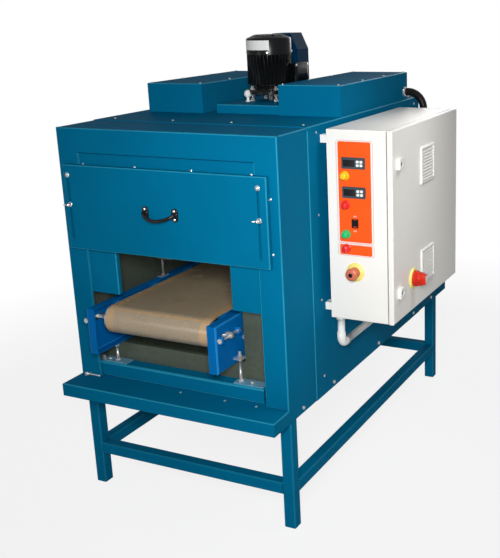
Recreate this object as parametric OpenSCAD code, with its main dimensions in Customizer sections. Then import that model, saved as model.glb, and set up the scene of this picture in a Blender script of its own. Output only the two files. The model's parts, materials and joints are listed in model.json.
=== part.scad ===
// Floor-standing conveyor reflow oven. Millimetres, +Z up, floor at z = 0.
// Sizes are laid out from the cabinet's left face (x), front face (y) and the floor (z);
// at_home() then centres the whole oven on the origin.

/* [Cabinet] */
// Width over the two side panels
cabinet_w = 800; // [790:1:850]
// Height of the body's top skin above the floor
cabinet_top = 1245; // [1235:1:1300]
// Height of the side panels' lower edge
skirt_bottom = 366; // [340:1:368]
// Height of the floor pan and of both shelves
deck_z = 411; // [409:1:420]
// Depth of the front hood, from the front face to the body's front seam
hood_d = 182; // [150:1:200]
// Length of the insulated body
body_len = 936; // [900:1:1000]
// Depth of the exit hood behind the body
exit_d = 226; // [200:1:260]
// Height of the exit hood's top skin
exit_top = 1150; // [1145:1:1190]
// Sheet steel thickness of the cabinet
sheet = 2; // [1.5:0.1:2.5]
// Outer radius of the bends in the sheet steel
bend = 4; // [3:0.5:6]
// Depth of the end panels' turned-back edges
panel_edge = 12; // [10:1:14]
// Depth of the top skin's turned-down sides
top_edge = 12; // [8:1:20]
// Width of the flanges at the body's seams
seam_flange = 18; // [12:1:20]

/* [Base frame] */
// Square tube of the base frame
tube = 40; // [30:1:45]
// Wall of that tube
tube_wall = 3; // [2:0.5:4]
// Set-back of the frame behind the cabinet's end faces
frame_setback = 12; // [5:1:40]
// Top of the low stretchers
stretcher_top = 153; // [120:1:200]

/* [Shelves] */
// How far each shelf stands out
shelf_out = 95; // [80:1:120]
// Height of the shelf's turned-down lip
shelf_lip = 43; // [30:1:50]

/* [End openings] */
// Width of the opening in each end panel
opening_w = 640; // [620:1:660]
// Top of the front opening
opening_top = 1165; // [1150:1:1190]
// Top of the exit opening
exit_opening_top = 1110; // [1080:1:1120]
// Depth of the turned-in edge round each opening
jamb = 6; // [4:1:10]
// Width of the clear mouth between the baffle plates
mouth_w = 426; // [400:1:440]
// Lower edge of the baffle plates
baffle_bottom = 708; // [700:1:715]
// Lower edge of the recessed cover plate
cover_bottom = 850; // [830:1:855]
// Turned-in edge of each baffle plate
baffle_return = 16; // [10:1:20]

/* [Gates] */
// How far a gate laps over each side of the end opening
gate_lap = 49; // [44:1:54]
// Height of a gate
gate_h = 273; // [250:1:280]
// Lower edge of a gate at rest, at its lowest place
gate_bottom = 857; // [850:1:865]
// How far a gate's face stands in front of the end panel
gate_proud = 20; // [18:1:26]
// Depth of a gate's turned-back edge
gate_edge = 16; // [12:1:16]
// Distance of the left slot from the gate's left edge
slot_in_left = 18; // [14:1:30]
// Distance of the right slot from the gate's right edge
slot_in_right = 28; // [14:1:30]
// Width of the slots
slot_w = 8; // [7:0.5:10]
// Length of the slots
slot_len = 217; // [180:1:225]
// Distance from the gate's lower edge to the slots
slot_low = 28; // [20:1:35]
// Diameter of the gate studs
stud_d = 6; // [5:0.5:6.5]
// Height of the clamping stud above the slot's lower end
clamp_up = 117; // [100:1:130]
// Radial running clearance of turning pieces
run_fit = 0.05; // [0.02:0.01:0.09]
// Air gap beside pieces that slide or are only guided
air = 0.3; // [0.3:0.1:0.5]

/* [Gate handle] */
// Distance between the handle's feet
handle_span = 108; // [90:1:130]
// Height of the handle's feet above the gate's lower edge
handle_up = 139; // [120:1:150]
// Bar diameter
handle_bar = 11; // [9:0.5:13]
// Depth of the bow, from the line between its ends
handle_bow = 26; // [22:1:34]
// How far the bow's plane hangs below the horizontal, in degrees
handle_tilt = 35; // [20:5:45]
// How far the bow's ends stand in front of the gate
handle_leg = 12; // [10:1:16]
// Width and height of the oval feet
handle_foot = [22, 42];

/* [Conveyor] */
// Centre line of the conveyor, from the cabinet's left face
belt_x = 353; // [350:1:356]
// Width over the two side members
rail_w = 490; // [486:1:496]
// Height of the side members
rail_h = 153; // [145:1:156]
// Top of the side members
rail_top = 675; // [672:1:680]
// Flange width of the side members
rail_flange = 32; // [28:1:34]
// Plate thickness of the side members
rail_plate = 3; // [2.5:0.5:4]
// Outer radius of the side members' bends
rail_bend = 6; // [5:0.5:8]
// How far the conveyor stands out of each end face
rail_out = 66; // [60:1:72]
// Roller diameter
roller_d = 90; // [84:1:94]
// Belt thickness
belt_t = 1.2; // [1:0.1:2]
// Belt width
belt_w = 386; // [370:1:390]
// Roller length beyond the belt on each side
roller_over = 6; // [4:1:8]
// Sideways offset of the rollers and belt from the conveyor's centre line
belt_shift = 8; // [6:1:9]
// Shaft diameter of the rollers
shaft_d = 20; // [16:1:24]
// Wall and end-plate thickness of the front roller
roller_wall = 6; // [4:1:8]
// Diameter of the adjusting screws
screw_d = 10; // [8:1:12]
// How far an axle end stands out of the side member
axle_out = 18; // [16:1:24]
// Travel of an axle in its slot, towards the conveyor's end
axle_travel = 34; // [24:1:36]
// Diameter of the tension bar above the returning belt
tension_d = 20; // [16:1:24]
// Distance of the tension bar behind the front roller
tension_in = 138; // [120:1:150]
// Distance of the roller axis behind the conveyor's end
roller_in = 63; // [60:1:70]
// Distance between each roller and the first crossbar's middle
bed_clear = 20; // [16:1:40]
// Number of fields between the crossbars
bed_cells = 6; // [4:1:8]
// Width of the crossbars
bed_bar_w = 24; // [16:1:30]
// Height of the crossbars
bed_bar_h = 26; // [16:1:30]
// Thickness of the flats laid on the crossbars
bed_flat_t = 5; // [4:1:8]
// Width of the two lengthwise flats
bed_flat = 20; // [16:1:30]
// Width of the zigzag flats
zigzag_w = 18; // [14:1:24]
// Set-back of the lengthwise flats from the rollers' ends
bed_inset = 6; // [4:1:12]

/* [Heated chamber] */
// Clear space between each side member and the tunnel wall
tunnel_side = 18; // [18:1:24]
// Distance of the liner's end plates behind the end faces
liner_in = 60; // [56:1:70]
// Upper edge of the liner's end opening
liner_head = 860; // [850:1:880]
// Depth of the turned-in lip under the liner's end opening
liner_lip = 16; // [10:1:20]
// Height of the chamber's ceiling
chamber_top = 1110; // [1105:1:1115]
// Set-back of the chamber's end walls from the body's seams
chamber_in = 60; // [50:1:70]
// Height of the heating rods
heater_z = 900; // [880:1:930]
// Spacing of the heating rods
heater_pitch = 80; // [60:5:120]
// Diameter of the heating rods
heater_d = 10; // [8:1:14]
// Spacing of the nozzle holes, along and across
nozzle_pitch = [105, 81];
// Diameter of the nozzle holes
nozzle_d = 10; // [6:1:14]
// Underside of the upper air box
nozzle_z = 775; // [765:1:790]
// Height of the air boxes
nozzle_h = 60; // [50:1:70]
// Diameter of the circulation impeller
impeller_d = 280; // [260:1:300]
// Blades of the impeller
impeller_blades = 12; // [8:1:16]

/* [Fan motor] */
// Distance of the motor axis from the raised tray's left edge
motor_in = 122; // [115:1:128]
// Distance of the motor axis from the front face
motor_y = 604; // [600:1:620]
// Outer diameter over the cooling ribs and of the cowl
motor_d = 156; // [150:1:158]
// Height of the motor's flange above the tray
flange_up = 26; // [24:1:34]
// Diameter of the motor's flange
flange_d = 160; // [154:1:162]
// Thickness of the motor's flange
flange_t = 12; // [10:1:16]
// Radius of the circle of the four mounting studs
mount_r = 66; // [62:1:68]
// Height of the end shield between the flange and the ribs
shield_h = 20; // [16:1:28]
// Height from the flange's underside to the top of the cowl
motor_h = 199; // [190:1:206]
// Height of the cowl
cowl_h = 66; // [60:1:75]
// Cooling ribs round the motor
rib_count = 36; // [24:4:40]
// Shaft diameter
motor_shaft = 24; // [20:1:28]
// Size of the raised tray, across
tray_w = 250; // [240:1:252]
// Height of the raised tray
tray_h = 30; // [26:1:36]

/* [Roof ducts] */
// Gap between the left duct box and the raised tray
tray_gap_left = 46; // [20:1:60]
// Gap between the raised tray and the right duct box
tray_gap_right = 2; // [1:1:10]
// Length of each duct box
duct_len = 580; // [560:1:600]
// Height of each duct box
duct_h = 100; // [95:1:105]
// Distance of the duct boxes behind the front face
duct_y = 425; // [420:1:440]
// Left duct box, from the cabinet's left face
duct_left_x = 46; // [40:1:50]
// Right duct box, from the cabinet's right face
duct_right_in = 4; // [3:1:8]

/* [Exhaust flue] */
// Width of the flue
flue_w = 124; // [110:1:126]
// Depth of the flue
flue_d = 84; // [70:1:90]
// Width of the flue's side flanges
flue_flange = 15; // [12:1:20]
// Width and height of the flue's cut-off top corners
flue_cut = [26, 56];
// Top of the flue above the cabinet's top
flue_h = 255; // [240:1:260]

/* [Control enclosure] */
// Width of the enclosure, along the oven
box_len = 600; // [590:1:610]
// Height of the enclosure
box_h = 600; // [590:1:610]
// Depth of the enclosure's body
box_d = 194; // [190:1:200]
// Thickness of the door
door_t = 16; // [14:1:18]
// Gap between body and door
door_gap = 4; // [3:0.5:5]
// Stand-off from the cabinet's side
box_off = 28; // [26:1:32]
// Distance behind the front face
box_y = 250; // [246:1:260]
// Underside above the floor
box_z = 632; // [630:1:640]
// Wall of the enclosure
box_wall = 2; // [1.5:0.1:2.5]
// Diameter of the pilot lamps' rings
lamp_d = 28.5; // [26:0.5:30]
// Diameter of the emergency stop's mushroom head
stop_d = 40; // [36:1:42]
// Travel of the emergency stop
stop_travel = 5; // [4:0.5:6]
// Diameter of the isolator's base disc
isolator_d = 66; // [60:1:70]
// Conduit diameter
conduit_d = 27; // [24:1:30]
// Bend radius of the conduit
conduit_r = 60; // [50:1:64]
// Trunking pipe diameter
pipe_d = 23; // [20:1:25]

/* [Hidden] */
$fn = 48;
cabinet_len = hood_d + body_len + exit_d;
body_end = hood_d + body_len;
hood_top = cabinet_top - sheet;
frame_in = 2 * sheet;
rail_z = deck_z - sheet;
leg_h = rail_z - tube;
frame_front = frame_setback;
frame_back = cabinet_len - frame_setback;
open_l = (cabinet_w - opening_w) / 2;
open_r = open_l + opening_w;
mouth_l = (cabinet_w - mouth_w) / 2;
mouth_r = mouth_l + mouth_w;
plate_y = sheet + jamb;
cover_lap = 22;
gate_w = opening_w + 2 * gate_lap;
gate_l = (cabinet_w - gate_w) / 2;
gate_r = gate_l + gate_w;
gate_top = gate_bottom + gate_h;
slot_z = gate_bottom + slot_low;
slot_xs = [gate_l + slot_in_left, gate_r - slot_in_right];
clamp_z = slot_z + clamp_up;
stop_z = slot_z + slot_len - slot_w / 2 - 1;
washer_t = 1.5;
washer_d = 16;
nut_y = -gate_proud - air - washer_t - air;
handle_x = cabinet_w / 2 - 4;
handle_z = gate_bottom + handle_up;
rail_l = belt_x - rail_w / 2;
rail_r = belt_x + rail_w / 2;
rail_z0 = rail_top - rail_h;
liner_sill = rail_z0 - 2;
conv_front = -rail_out;
conv_back = cabinet_len + rail_out;
roller_z = rail_top + 2 - roller_d / 2 - belt_t;
roller_y = conv_front + roller_in;
roller_back = cabinet_len - roller_y;
roller_len = belt_w + 2 * roller_over;
roller_x = belt_x + belt_shift;
belt_r = roller_d / 2 + air;
tension_y = roller_y + tension_in;
tension_z = roller_z - belt_r + air + tension_d / 2;
ear_t = 5;
ear_h = 24;
ear_x = axle_out / 2;
ear_offsets = [-axle_travel - 18, shaft_d / 2 + 32];
bed_front = roller_y + roller_d / 2 + bed_clear;
bed_back = roller_back - roller_d / 2 - bed_clear;
cell = (bed_back - bed_front) / bed_cells;
laid = 0.05;
tunnel_l = rail_l - tunnel_side;
tunnel_r = rail_r + tunnel_side;
member_h = 50;
member_top = deck_z + member_h;
member_l = open_l - 8;
member_r = open_r - 14;
member_d = 46;
member_y = panel_edge;
member_t = 4;
foot_t = 4;
jack_d = 10;
hanger_d = 8;
hanger_in = 16;
hanger_y = hood_d + 143;
bearing_t = 18;
gearbox_t = 46;
shaft_over = 24;
jack_y = member_y + 22;
jack_right_x = rail_r + 15;
jack_left_x = rail_l + 26;
lug_z = 540;
tray_top = cabinet_top + tray_h;
tray_y = duct_y + 15;
duct_w = (cabinet_w - duct_left_x - tray_gap_left - tray_w - tray_gap_right - duct_right_in) / 2;
tray_r = cabinet_w - duct_right_in - duct_w - tray_gap_right;
tray_l = tray_r - tray_w;
motor_x = tray_l + motor_in;
tray_len = duct_len - 160;
flange_z = tray_top + flange_up;
motor_top = flange_z + motor_h;
ribs_top = motor_top - cowl_h;
core_d = motor_d - 34;
mount_d = 10;
stud_over = 14;
ribs_z = flange_z + flange_t + shield_h;
rib_t = 2.8;
box_seat = motor_x + motor_d / 2 + 2;
seat_d = motor_shaft + 2 * run_fit;
shaft_hole = motor_shaft + 8;
impeller_z = 950;
impeller_h = 90;
flue_x = motor_x - flue_w / 2;
flue_y = motor_y + motor_d / 2 + 14;
box_x = cabinet_w + box_off;
box_front_x = box_x + box_d;
door_x = box_front_x + door_gap;
door_out = door_x + door_t;
box_back = box_y + box_len;
box_top = box_z + box_h;
hinge_x = door_x - 2;
hinge_y = box_back + 8;
hinge_zs = [box_z + 90, box_top - 140];
hinge_pin = 6;
knuckle = 24;
lug_w = 30;
plate_off = 12;
plate_in = 40;
row_y = box_y + plate_in + 50;
row_end = box_back - plate_in - 40;
rail_up = 7.5;
rail_35 = 35;
terminal_z = 137;
relay_z = 317;
contactor_z = 477;
stop_neck = 22;
stop_disc = 60;
box_rim = 14;
lock_y = box_y + 48;
lock_zs = [box_z + 92, box_top - 104];
vent_y = box_y + 296;
vent_zs = [box_z + 120, box_top - 142];
vent_w = 120;
vent_slats = 10;
slat_pitch = 10;
isolator_h = 39.7;
lock_barrel = 16;
lock_neck = 18;
isolator_y = box_y + 165;
isolator_z = box_z + 106;
panel_x = box_x + 37;
panel_w = 108;
panel_z = box_z + 255;
panel_h = 310;
strip_z = box_z + 214;
strip_h = 32;
panel_t = 1;
lamp_x = panel_x + 23;
lamp_zs = [panel_z + 206, panel_z + 116, panel_z + 24, strip_z + 20];
lamp_colours = ["gold", "red", "green", "red"];
meter_x = panel_x + 13;
meter_w = 77;
meter_h = 35;
meter_zs = [panel_z + 228, panel_z + 138];
rocker_x = panel_x + 53;
rocker_z = panel_z + 59;
rocker_w = 13;
rocker_h = 18.6;
rocker_tilt = 9;
rocker_y = box_y + 3;
rocker_pin = 3;
collar_w = rocker_w + 2 * air + 4;
collar_h = 26;
stop_x = panel_x + 50;
stop_button_z = box_z + 159;
stop_stem = 16;
conduit_y = duct_y + duct_len - 30;
conduit_z = cabinet_top + 30;
conduit_x = cabinet_w - duct_right_in + 16;
conduit_drop = 65;
pipe_x = box_x + 22;
pipe_y = box_y + 14;
pipe_low = box_z - 94;
pipe_run = 300;
pipe_bend = 24;
mid_x = (door_out + 46) / 2;
mid_y = cabinet_len / 2;
teal = [0, 0.36, 0.52];
royal = [0, 0.33, 0.66];
galv = [0.62, 0.64, 0.62];
steel = [0.78, 0.79, 0.8];
pale = [0.9, 0.89, 0.86];

// Places the oven with the middle of its outline on the origin.
module at_home() translate([-mid_x, -mid_y, 0]) children();

// Turns something made for the front end into its twin at the exit end.
module to_exit() translate([0, cabinet_len, 0]) mirror([0, 1, 0]) children();

// The two limits of a width about a middle.
function about(middle, width) = [middle - width / 2, middle + width / 2];

// A block between two limits on each axis.
module span(x, y, z) translate([x[0], y[0], z[0]]) cube([x[1] - x[0], y[1] - y[0], z[1] - z[0]]);

// Round bar along an axis, from a point.
module bar_x(p, d, l) translate(p) rotate([0, 90, 0]) cylinder(d = d, h = l);
module bar_y(p, d, l) translate(p) rotate([-90, 0, 0]) cylinder(d = d, h = l);
module bar_z(p, d, l) translate(p) cylinder(d = d, h = l);

// Hexagon nut with its axis along Z, X or Y.
module nut_z(p, d, h) translate(p) cylinder(d = d, h = h, $fn = 6);
module nut_x(p, d, h) translate(p) rotate([0, 90, 0]) cylinder(d = d, h = h, $fn = 6);
module nut_y(p, d, h) translate(p) rotate([-90, 0, 0]) cylinder(d = d, h = h, $fn = 6);

// Rectangle with its two upper corners rounded.
module arch(w, h, r) {
    square([w, h - r]);
    translate([r, 0]) square([w - 2 * r, h]);
    for (x = [r, w - r]) translate([x, h - r]) circle(r = r);
}

// Rectangle with all its corners rounded.
module rounded(w, h, r) {
    translate([r, 0]) square([w - 2 * r, h]);
    translate([0, r]) square([w, h - 2 * r]);
    for (x = [r, w - r], y = [r, h - r]) translate([x, y]) circle(r = r);
}

// Folded channel section, open downwards.
module channel_2d(w, h, r, t) difference() {
    arch(w, h, r);
    translate([t, -1]) arch(w - 2 * t, h + 1 - t, r - t);
}

// Folded angle: a leg along X from the origin and a leg along Y at its far end.
module angle_2d(w, h, r, t) {
    square([w - r, t]);
    translate([w - t, r]) square([t, h - r]);
    translate([w - r, r]) intersection() {
        difference() {
            circle(r = r);
            circle(r = r - t);
        }
        translate([0, -r]) square(r);
    }
}

// Block whose face at y = 0 has its four edges rounded.
module pan_block(w, d, h, r) intersection() {
    linear_extrude(h) translate([0, d]) mirror([0, 1]) arch(w, d, r);
    rotate([90, 0, 90]) linear_extrude(w) translate([d, 0]) rotate(90) arch(h, d, r);
}

// Folded pan with its face at y = 0 and four edges turned towards +Y.
module pan(w, d, h, r, t) difference() {
    pan_block(w, d, h, r);
    translate([t, t, t]) pan_block(w - 2 * t, d, h - 2 * t, r - t);
}

// Folded lid: a pan with its face on top.
module lid(x, y, z, t = sheet) translate([x[0], y[0], z[1]]) rotate([-90, 0, 0])
    pan(x[1] - x[0], z[1] - z[0], y[1] - y[0], bend, t);

// Square tube with rounded corners along Z, X or Y from a corner.
module tube_2d() difference() {
    rounded(tube, tube, tube_wall + 2);
    translate([tube_wall, tube_wall]) rounded(tube - 2 * tube_wall, tube - 2 * tube_wall, 2);
}
module tube_z(p, l) translate(p) linear_extrude(l) tube_2d();
module tube_x(p, l) translate(p) rotate([90, 0, 90]) linear_extrude(l) tube_2d();
module tube_y(p, l) translate([p[0], p[1] + l, p[2]]) rotate([90, 0, 0]) linear_extrude(l) tube_2d();

frame_x = [frame_in, cabinet_w - frame_in - tube];
frame_y = [frame_front, frame_back - tube];

module legs() at_home() color(teal) for (x = frame_x, y = frame_y) {
    tube_z([x, y, sheet], leg_h - sheet);
    translate([x, y, 0]) linear_extrude(sheet) rounded(tube, tube, tube_wall + 2);
}

module stretchers() at_home() color(teal) {
    for (y = frame_y) tube_x([frame_in + tube, y, stretcher_top - tube], cabinet_w - 2 * (frame_in + tube));
    for (x = frame_x) tube_y([x, frame_front + tube, stretcher_top - tube], frame_back - frame_front - 2 * tube);
}

module top_rails() at_home() color(teal) {
    for (x = frame_x) tube_y([x, frame_front, leg_h], frame_back - frame_front);
    for (y = frame_y) tube_x([frame_in + tube, y, leg_h], cabinet_w - 2 * (frame_in + tube));
}

module floor_pan() at_home() color(galv)
    span([frame_in, cabinet_w - frame_in], [frame_front + tube, frame_back - tube], [deck_z - sheet, deck_z]);

// Shelf tray: a plate that rests on the end rail, folded down at the front and both ends.
module shelf() {
    difference() {
        lid([0, cabinet_w], [-shelf_out, bend], [deck_z - shelf_lip, deck_z]);
        span([-1, cabinet_w + 1], [0, bend + 1], [deck_z - shelf_lip - 1, deck_z + 1]);
    }
    span([frame_in, cabinet_w - frame_in], [0, frame_front + tube], [deck_z - sheet, deck_z]);
}

module shelves() at_home() color(teal) {
    shelf();
    to_exit() shelf();
}

// Hood of one folded sheet: two sides and a top, cut back above the deck for the end panel's edges.
module hood(depth, top) difference() {
    translate([sheet, depth, skirt_bottom]) rotate([90, 0, 0]) linear_extrude(depth)
        channel_2d(cabinet_w - 2 * sheet, top - skirt_bottom, bend, sheet);
    span([0, cabinet_w], [-1, panel_edge], [deck_z, top + 1]);
}

module front_hood() at_home() color(teal) hood(hood_d, hood_top);

module exit_hood() at_home() color(teal) to_exit() hood(exit_d, exit_top);

// End panel: a folded pan with a tall opening whose edges are turned in.
module end_panel(top, head) {
    difference() {
        translate([sheet, 0, deck_z]) pan(cabinet_w - 2 * sheet, panel_edge, top - deck_z, bend, sheet);
        span([open_l, open_r], [-1, panel_edge + 1], [deck_z - 1, head]);
        for (x = slot_xs, z = [clamp_z, stop_z]) bar_y([x, -1, z], stud_d, sheet + 2);
    }
    for (x = [open_l - sheet, open_r])
        span([x, x + sheet], [sheet, sheet + jamb], [deck_z + sheet, head + sheet]);
    span([open_l, open_r], [sheet, sheet + jamb], [head, head + sheet]);
}

module front_panel() at_home() color(teal) end_panel(hood_top, opening_top);

module exit_panel() at_home() color(teal) to_exit() end_panel(exit_top, exit_opening_top);

// Side panel of the body, its front and back edges folded inwards above the frame.
module body_side() {
    top = cabinet_top - top_edge;
    difference() {
        translate([0, hood_d, skirt_bottom]) linear_extrude(top - skirt_bottom)
            translate([sheet + seam_flange, 0]) rotate(90) channel_2d(body_len, sheet + seam_flange, bend, sheet);
        span([bend, sheet + seam_flange + 1], [hood_d - 1, body_end + 1], [skirt_bottom - 1, deck_z + 1]);
    }
}

module body_side_left() at_home() color(teal) body_side();

module body_side_right() at_home() color(teal) translate([cabinet_w, 0, 0]) mirror([1, 0, 0]) body_side();

// Top skin: folded down along both sides, and at the back behind the exit hood.
module body_top() at_home() color(teal) difference() {
    union() {
        translate([0, body_end, cabinet_top - top_edge]) rotate([90, 0, 0]) linear_extrude(body_len)
            channel_2d(cabinet_w, top_edge, bend, sheet);
        span([sheet + seam_flange + 2, cabinet_w - sheet - seam_flange - 2], [body_end - sheet, body_end],
            [exit_top, cabinet_top - sheet]);
    }
    bar_z([motor_x, motor_y, cabinet_top - 2 * sheet], shaft_hole, 3 * sheet);
}

// Plate behind the upper part of an end opening.
module recessed_cover(top)
    span([open_l - cover_lap, open_r + cover_lap], [plate_y, plate_y + sheet], [cover_bottom, top]);

module recessed_covers() at_home() color(teal) {
    recessed_cover(opening_top + cover_lap);
    to_exit() recessed_cover(exit_opening_top + cover_lap);
}

// Two folded plates that narrow an end opening to the belt's width.
module baffle_pair() {
    w = mouth_l - open_l + cover_lap;
    for (right = [0, 1]) translate([right * cabinet_w, 0, 0]) mirror([right, 0, 0])
        translate([mouth_l - w, plate_y, baffle_bottom]) linear_extrude(cover_bottom - baffle_bottom)
        angle_2d(w, baffle_return, bend, sheet);
}

module baffle_plates() at_home() color(teal) {
    baffle_pair();
    to_exit() baffle_pair();
}

// Studs that guide a gate, with spacer sleeves behind it and washers in front of it.
module gate_stud_set() for (x = slot_xs) {
    for (z = [clamp_z, stop_z]) bar_y([x, sheet, z], 12, 3);
    for (z = [clamp_z, stop_z]) difference() {
        bar_y([x, -gate_proud + sheet + air, z], 14, gate_proud - sheet - air);
        bar_y([x, -gate_proud, z], stud_d, gate_proud + 1);
    }
    bar_y([x, nut_y - 14, clamp_z], stud_d, -nut_y + 14 + sheet);
    bar_y([x, nut_y, stop_z], stud_d, -nut_y + sheet);
    for (z = [clamp_z, stop_z]) difference() {
        bar_y([x, -gate_proud - air - washer_t, z], washer_d, washer_t);
        bar_y([x, -gate_proud - 5, z], stud_d, 10);
    }
    translate([x, -gate_proud - air - washer_t, stop_z]) rotate([90, 0, 0]) cylinder(d1 = 11, d2 = 8, h = 4);
}

module gate_studs() at_home() color(steel) {
    gate_stud_set();
    to_exit() gate_stud_set();
}

// Gate: a shallow folded pan with two long slots.
module gate() difference() {
    translate([gate_l, -gate_proud, gate_bottom]) pan(gate_w, gate_edge, gate_h, bend, sheet);
    for (x = slot_xs) {
        span(about(x, slot_w), [-gate_proud - 1, -gate_proud + sheet + 1],
            [slot_z + slot_w / 2, slot_z + slot_len - slot_w / 2]);
        for (z = [slot_z + slot_w / 2, slot_z + slot_len - slot_w / 2])
            bar_y([x, -gate_proud - 1, z], slot_w, sheet + 2);
    }
}

// Bow handle: an arc of round bar that hangs from two domed oval feet, laid on the gate.
module handle(lift = 0) translate([handle_x, -gate_proud - lift, handle_z]) {
    r = (pow(handle_span / 2, 2) + pow(handle_bow, 2)) / (2 * handle_bow);
    half = asin(handle_span / 2 / r);
    w = handle_foot[0];
    for (s = [-1, 1]) translate([s * handle_span / 2, 0, 0]) {
        rotate([90, 0, 0]) linear_extrude(4) {
            for (z = [-1, 1]) translate([0, z * (handle_foot[1] - w) / 2]) circle(d = w);
            square([w, handle_foot[1] - w], center = true);
        }
        rotate([90, 0, 0]) cylinder(d = handle_bar + 3, h = handle_leg);
        translate([0, -handle_leg, 0]) sphere(d = handle_bar + 3);
    }
    translate([0, -handle_leg, 0]) rotate([handle_tilt, 0, 0]) translate([0, r - handle_bow, 0])
        rotate([0, 0, -90 - half]) rotate_extrude(angle = 2 * half) translate([r, 0]) circle(d = handle_bar);
}

module gate_front() at_home() color(teal) gate();

module handle_front() at_home() color([0.05, 0.05, 0.06]) handle();

module gate_exit() at_home() color(teal) to_exit() {
    gate();
    handle(laid);
}

// Wing nut with its bore on the clamping stud.
module wing_nut(x) translate([x, nut_y, clamp_z]) rotate([90, 0, 0]) difference() {
    union() {
        cylinder(d1 = 13, d2 = 10, h = 8);
        for (a = [0, 180]) rotate([0, 0, a]) translate([3.5, -1.2, 2]) rotate([90, 0, 0]) translate([0, 0, -2.4])
            linear_extrude(2.4) polygon([[0, 0], [6, 1], [13, 7], [14, 11], [11, 13], [7, 11], [0, 6]]);
    }
    translate([0, 0, -1]) cylinder(d = stud_d + 2 * run_fit, h = 16);
}

module wing_nut_front_left() at_home() color(steel) wing_nut(slot_xs[0]);
module wing_nut_front_right() at_home() color(steel) wing_nut(slot_xs[1]);
module wing_nut_exit_left() at_home() color(steel) to_exit() wing_nut(slot_xs[0]);
module wing_nut_exit_right() at_home() color(steel) to_exit() wing_nut(slot_xs[1]);

// Galvanised liner: end plates with openings, and the two tunnel walls between them.
module liner_plate(top) difference() {
    translate([frame_in, liner_in + sheet, deck_z]) rotate([90, 0, 0]) linear_extrude(sheet)
        arch(cabinet_w - 2 * frame_in, top - deck_z, bend - sheet);
    span([tunnel_l, tunnel_r], [liner_in - 1, liner_in + sheet + 1], [liner_sill, liner_head]);
}

module tunnel_liner() at_home() color(galv) {
    liner_plate(hood_top - sheet);
    to_exit() liner_plate(exit_top - sheet);
    for (y = [liner_in + sheet, cabinet_len - liner_in - liner_lip])
        span([tunnel_l, tunnel_r], [y, y + liner_lip - sheet], [liner_sill - sheet, liner_sill]);
    for (x = [tunnel_l - sheet, tunnel_r])
        span([x, x + sheet], [liner_in + sheet, cabinet_len - liner_in - sheet], [deck_z, liner_head]);
    for (x = [tunnel_l - sheet, tunnel_r])
        span([x, x + sheet], [hood_d + chamber_in, body_end - chamber_in], [liner_head, chamber_top]);
}

// Air boxes above and below the belt, with rows of nozzle holes facing it.
module air_box(z, face) {
    y = [hood_d + chamber_in - 20, body_end - chamber_in + 20];
    difference() {
        span([tunnel_l, tunnel_r], y, [z, z + nozzle_h]);
        span([tunnel_l + sheet, tunnel_r - sheet], [y[0] + sheet, y[1] - sheet], [z + sheet, z + nozzle_h - sheet]);
        for (v = [y[0] + chamber_in : nozzle_pitch[0] : y[1] - chamber_in],
             u = [tunnel_l + chamber_in : nozzle_pitch[1] : tunnel_r - chamber_in])
            bar_z([u, v, z + face * (nozzle_h - sheet) - 1], nozzle_d, sheet + 2);
    }
}

module air_boxes() at_home() color(galv) {
    air_box(nozzle_z, 0);
    air_box(liner_sill - 14 - nozzle_h, 1);
}

// Sheathed heating rods that cross the chamber between its walls.
module heater_rods() at_home() color([0.35, 0.3, 0.27])
    for (y = [hood_d + 2 * chamber_in : heater_pitch : body_end - 2 * chamber_in])
        bar_x([tunnel_l, y, heater_z], heater_d, tunnel_r - tunnel_l);

// Mineral wool round the chamber, bored for the fan's shaft.
module insulation() at_home() color([0.8, 0.76, 0.6]) {
    inside = sheet + seam_flange + 2;
    for (x = [[inside, tunnel_l - sheet], [tunnel_r + sheet, cabinet_w - inside]])
        span(x, [hood_d + sheet, body_end - sheet], [deck_z, chamber_top]);
    difference() {
        span([inside, cabinet_w - inside], [hood_d + sheet, body_end - sheet], [chamber_top, cabinet_top - sheet]);
        bar_z([motor_x, motor_y, chamber_top - 10], shaft_hole, cabinet_top - chamber_top + 20);
    }
    for (y = [[hood_d + sheet, hood_d + chamber_in], [body_end - chamber_in, body_end - sheet]])
        span([tunnel_l - sheet, tunnel_r + sheet], y, [liner_head, chamber_top]);
}

// Conveyor side member: a folded pan with its web outside, slots for the axles, and ears that
// hold the adjusting screws.
module conveyor_side() {
    difference() {
        translate([0, conv_back, rail_z0]) rotate([0, 0, -90])
            pan(conv_back - conv_front, rail_flange, rail_h, rail_bend, rail_plate);
        axle_slot(roller_y, roller_z);
        axle_slot(tension_y, tension_z);
        bar_x([-1, roller_back, roller_z], shaft_d + 4, rail_plate + 2);
    }
    for (a = [[roller_y, roller_z], [tension_y, tension_z]], d = ear_offsets) difference() {
        translate([-axle_out, a[0] + d + ear_t, a[1] - ear_h / 2]) rotate([90, 0, 0]) linear_extrude(ear_t)
            translate([axle_out, 0]) rotate(90) arch(ear_h, axle_out, 7);
        bar_y([-ear_x, a[0] + d - 1, a[1]], screw_d + 2 * air, ear_t + 2);
    }
}

// Slot in which an axle end is shifted to tension or track the belt.
module axle_slot(y, z) {
    h = shaft_d + 2 * air;
    span([-1, rail_plate + 1], [y - axle_travel, y + 2], [z - h / 2, z + h / 2]);
    bar_x([-1, y + 2, z], h, rail_plate + 2);
}

module conveyor_side_left() at_home() color(royal) translate([rail_l, 0, 0]) conveyor_side();

module conveyor_side_right() at_home() color(royal) translate([rail_r, 0, 0]) mirror([1, 0, 0]) conveyor_side();

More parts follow.
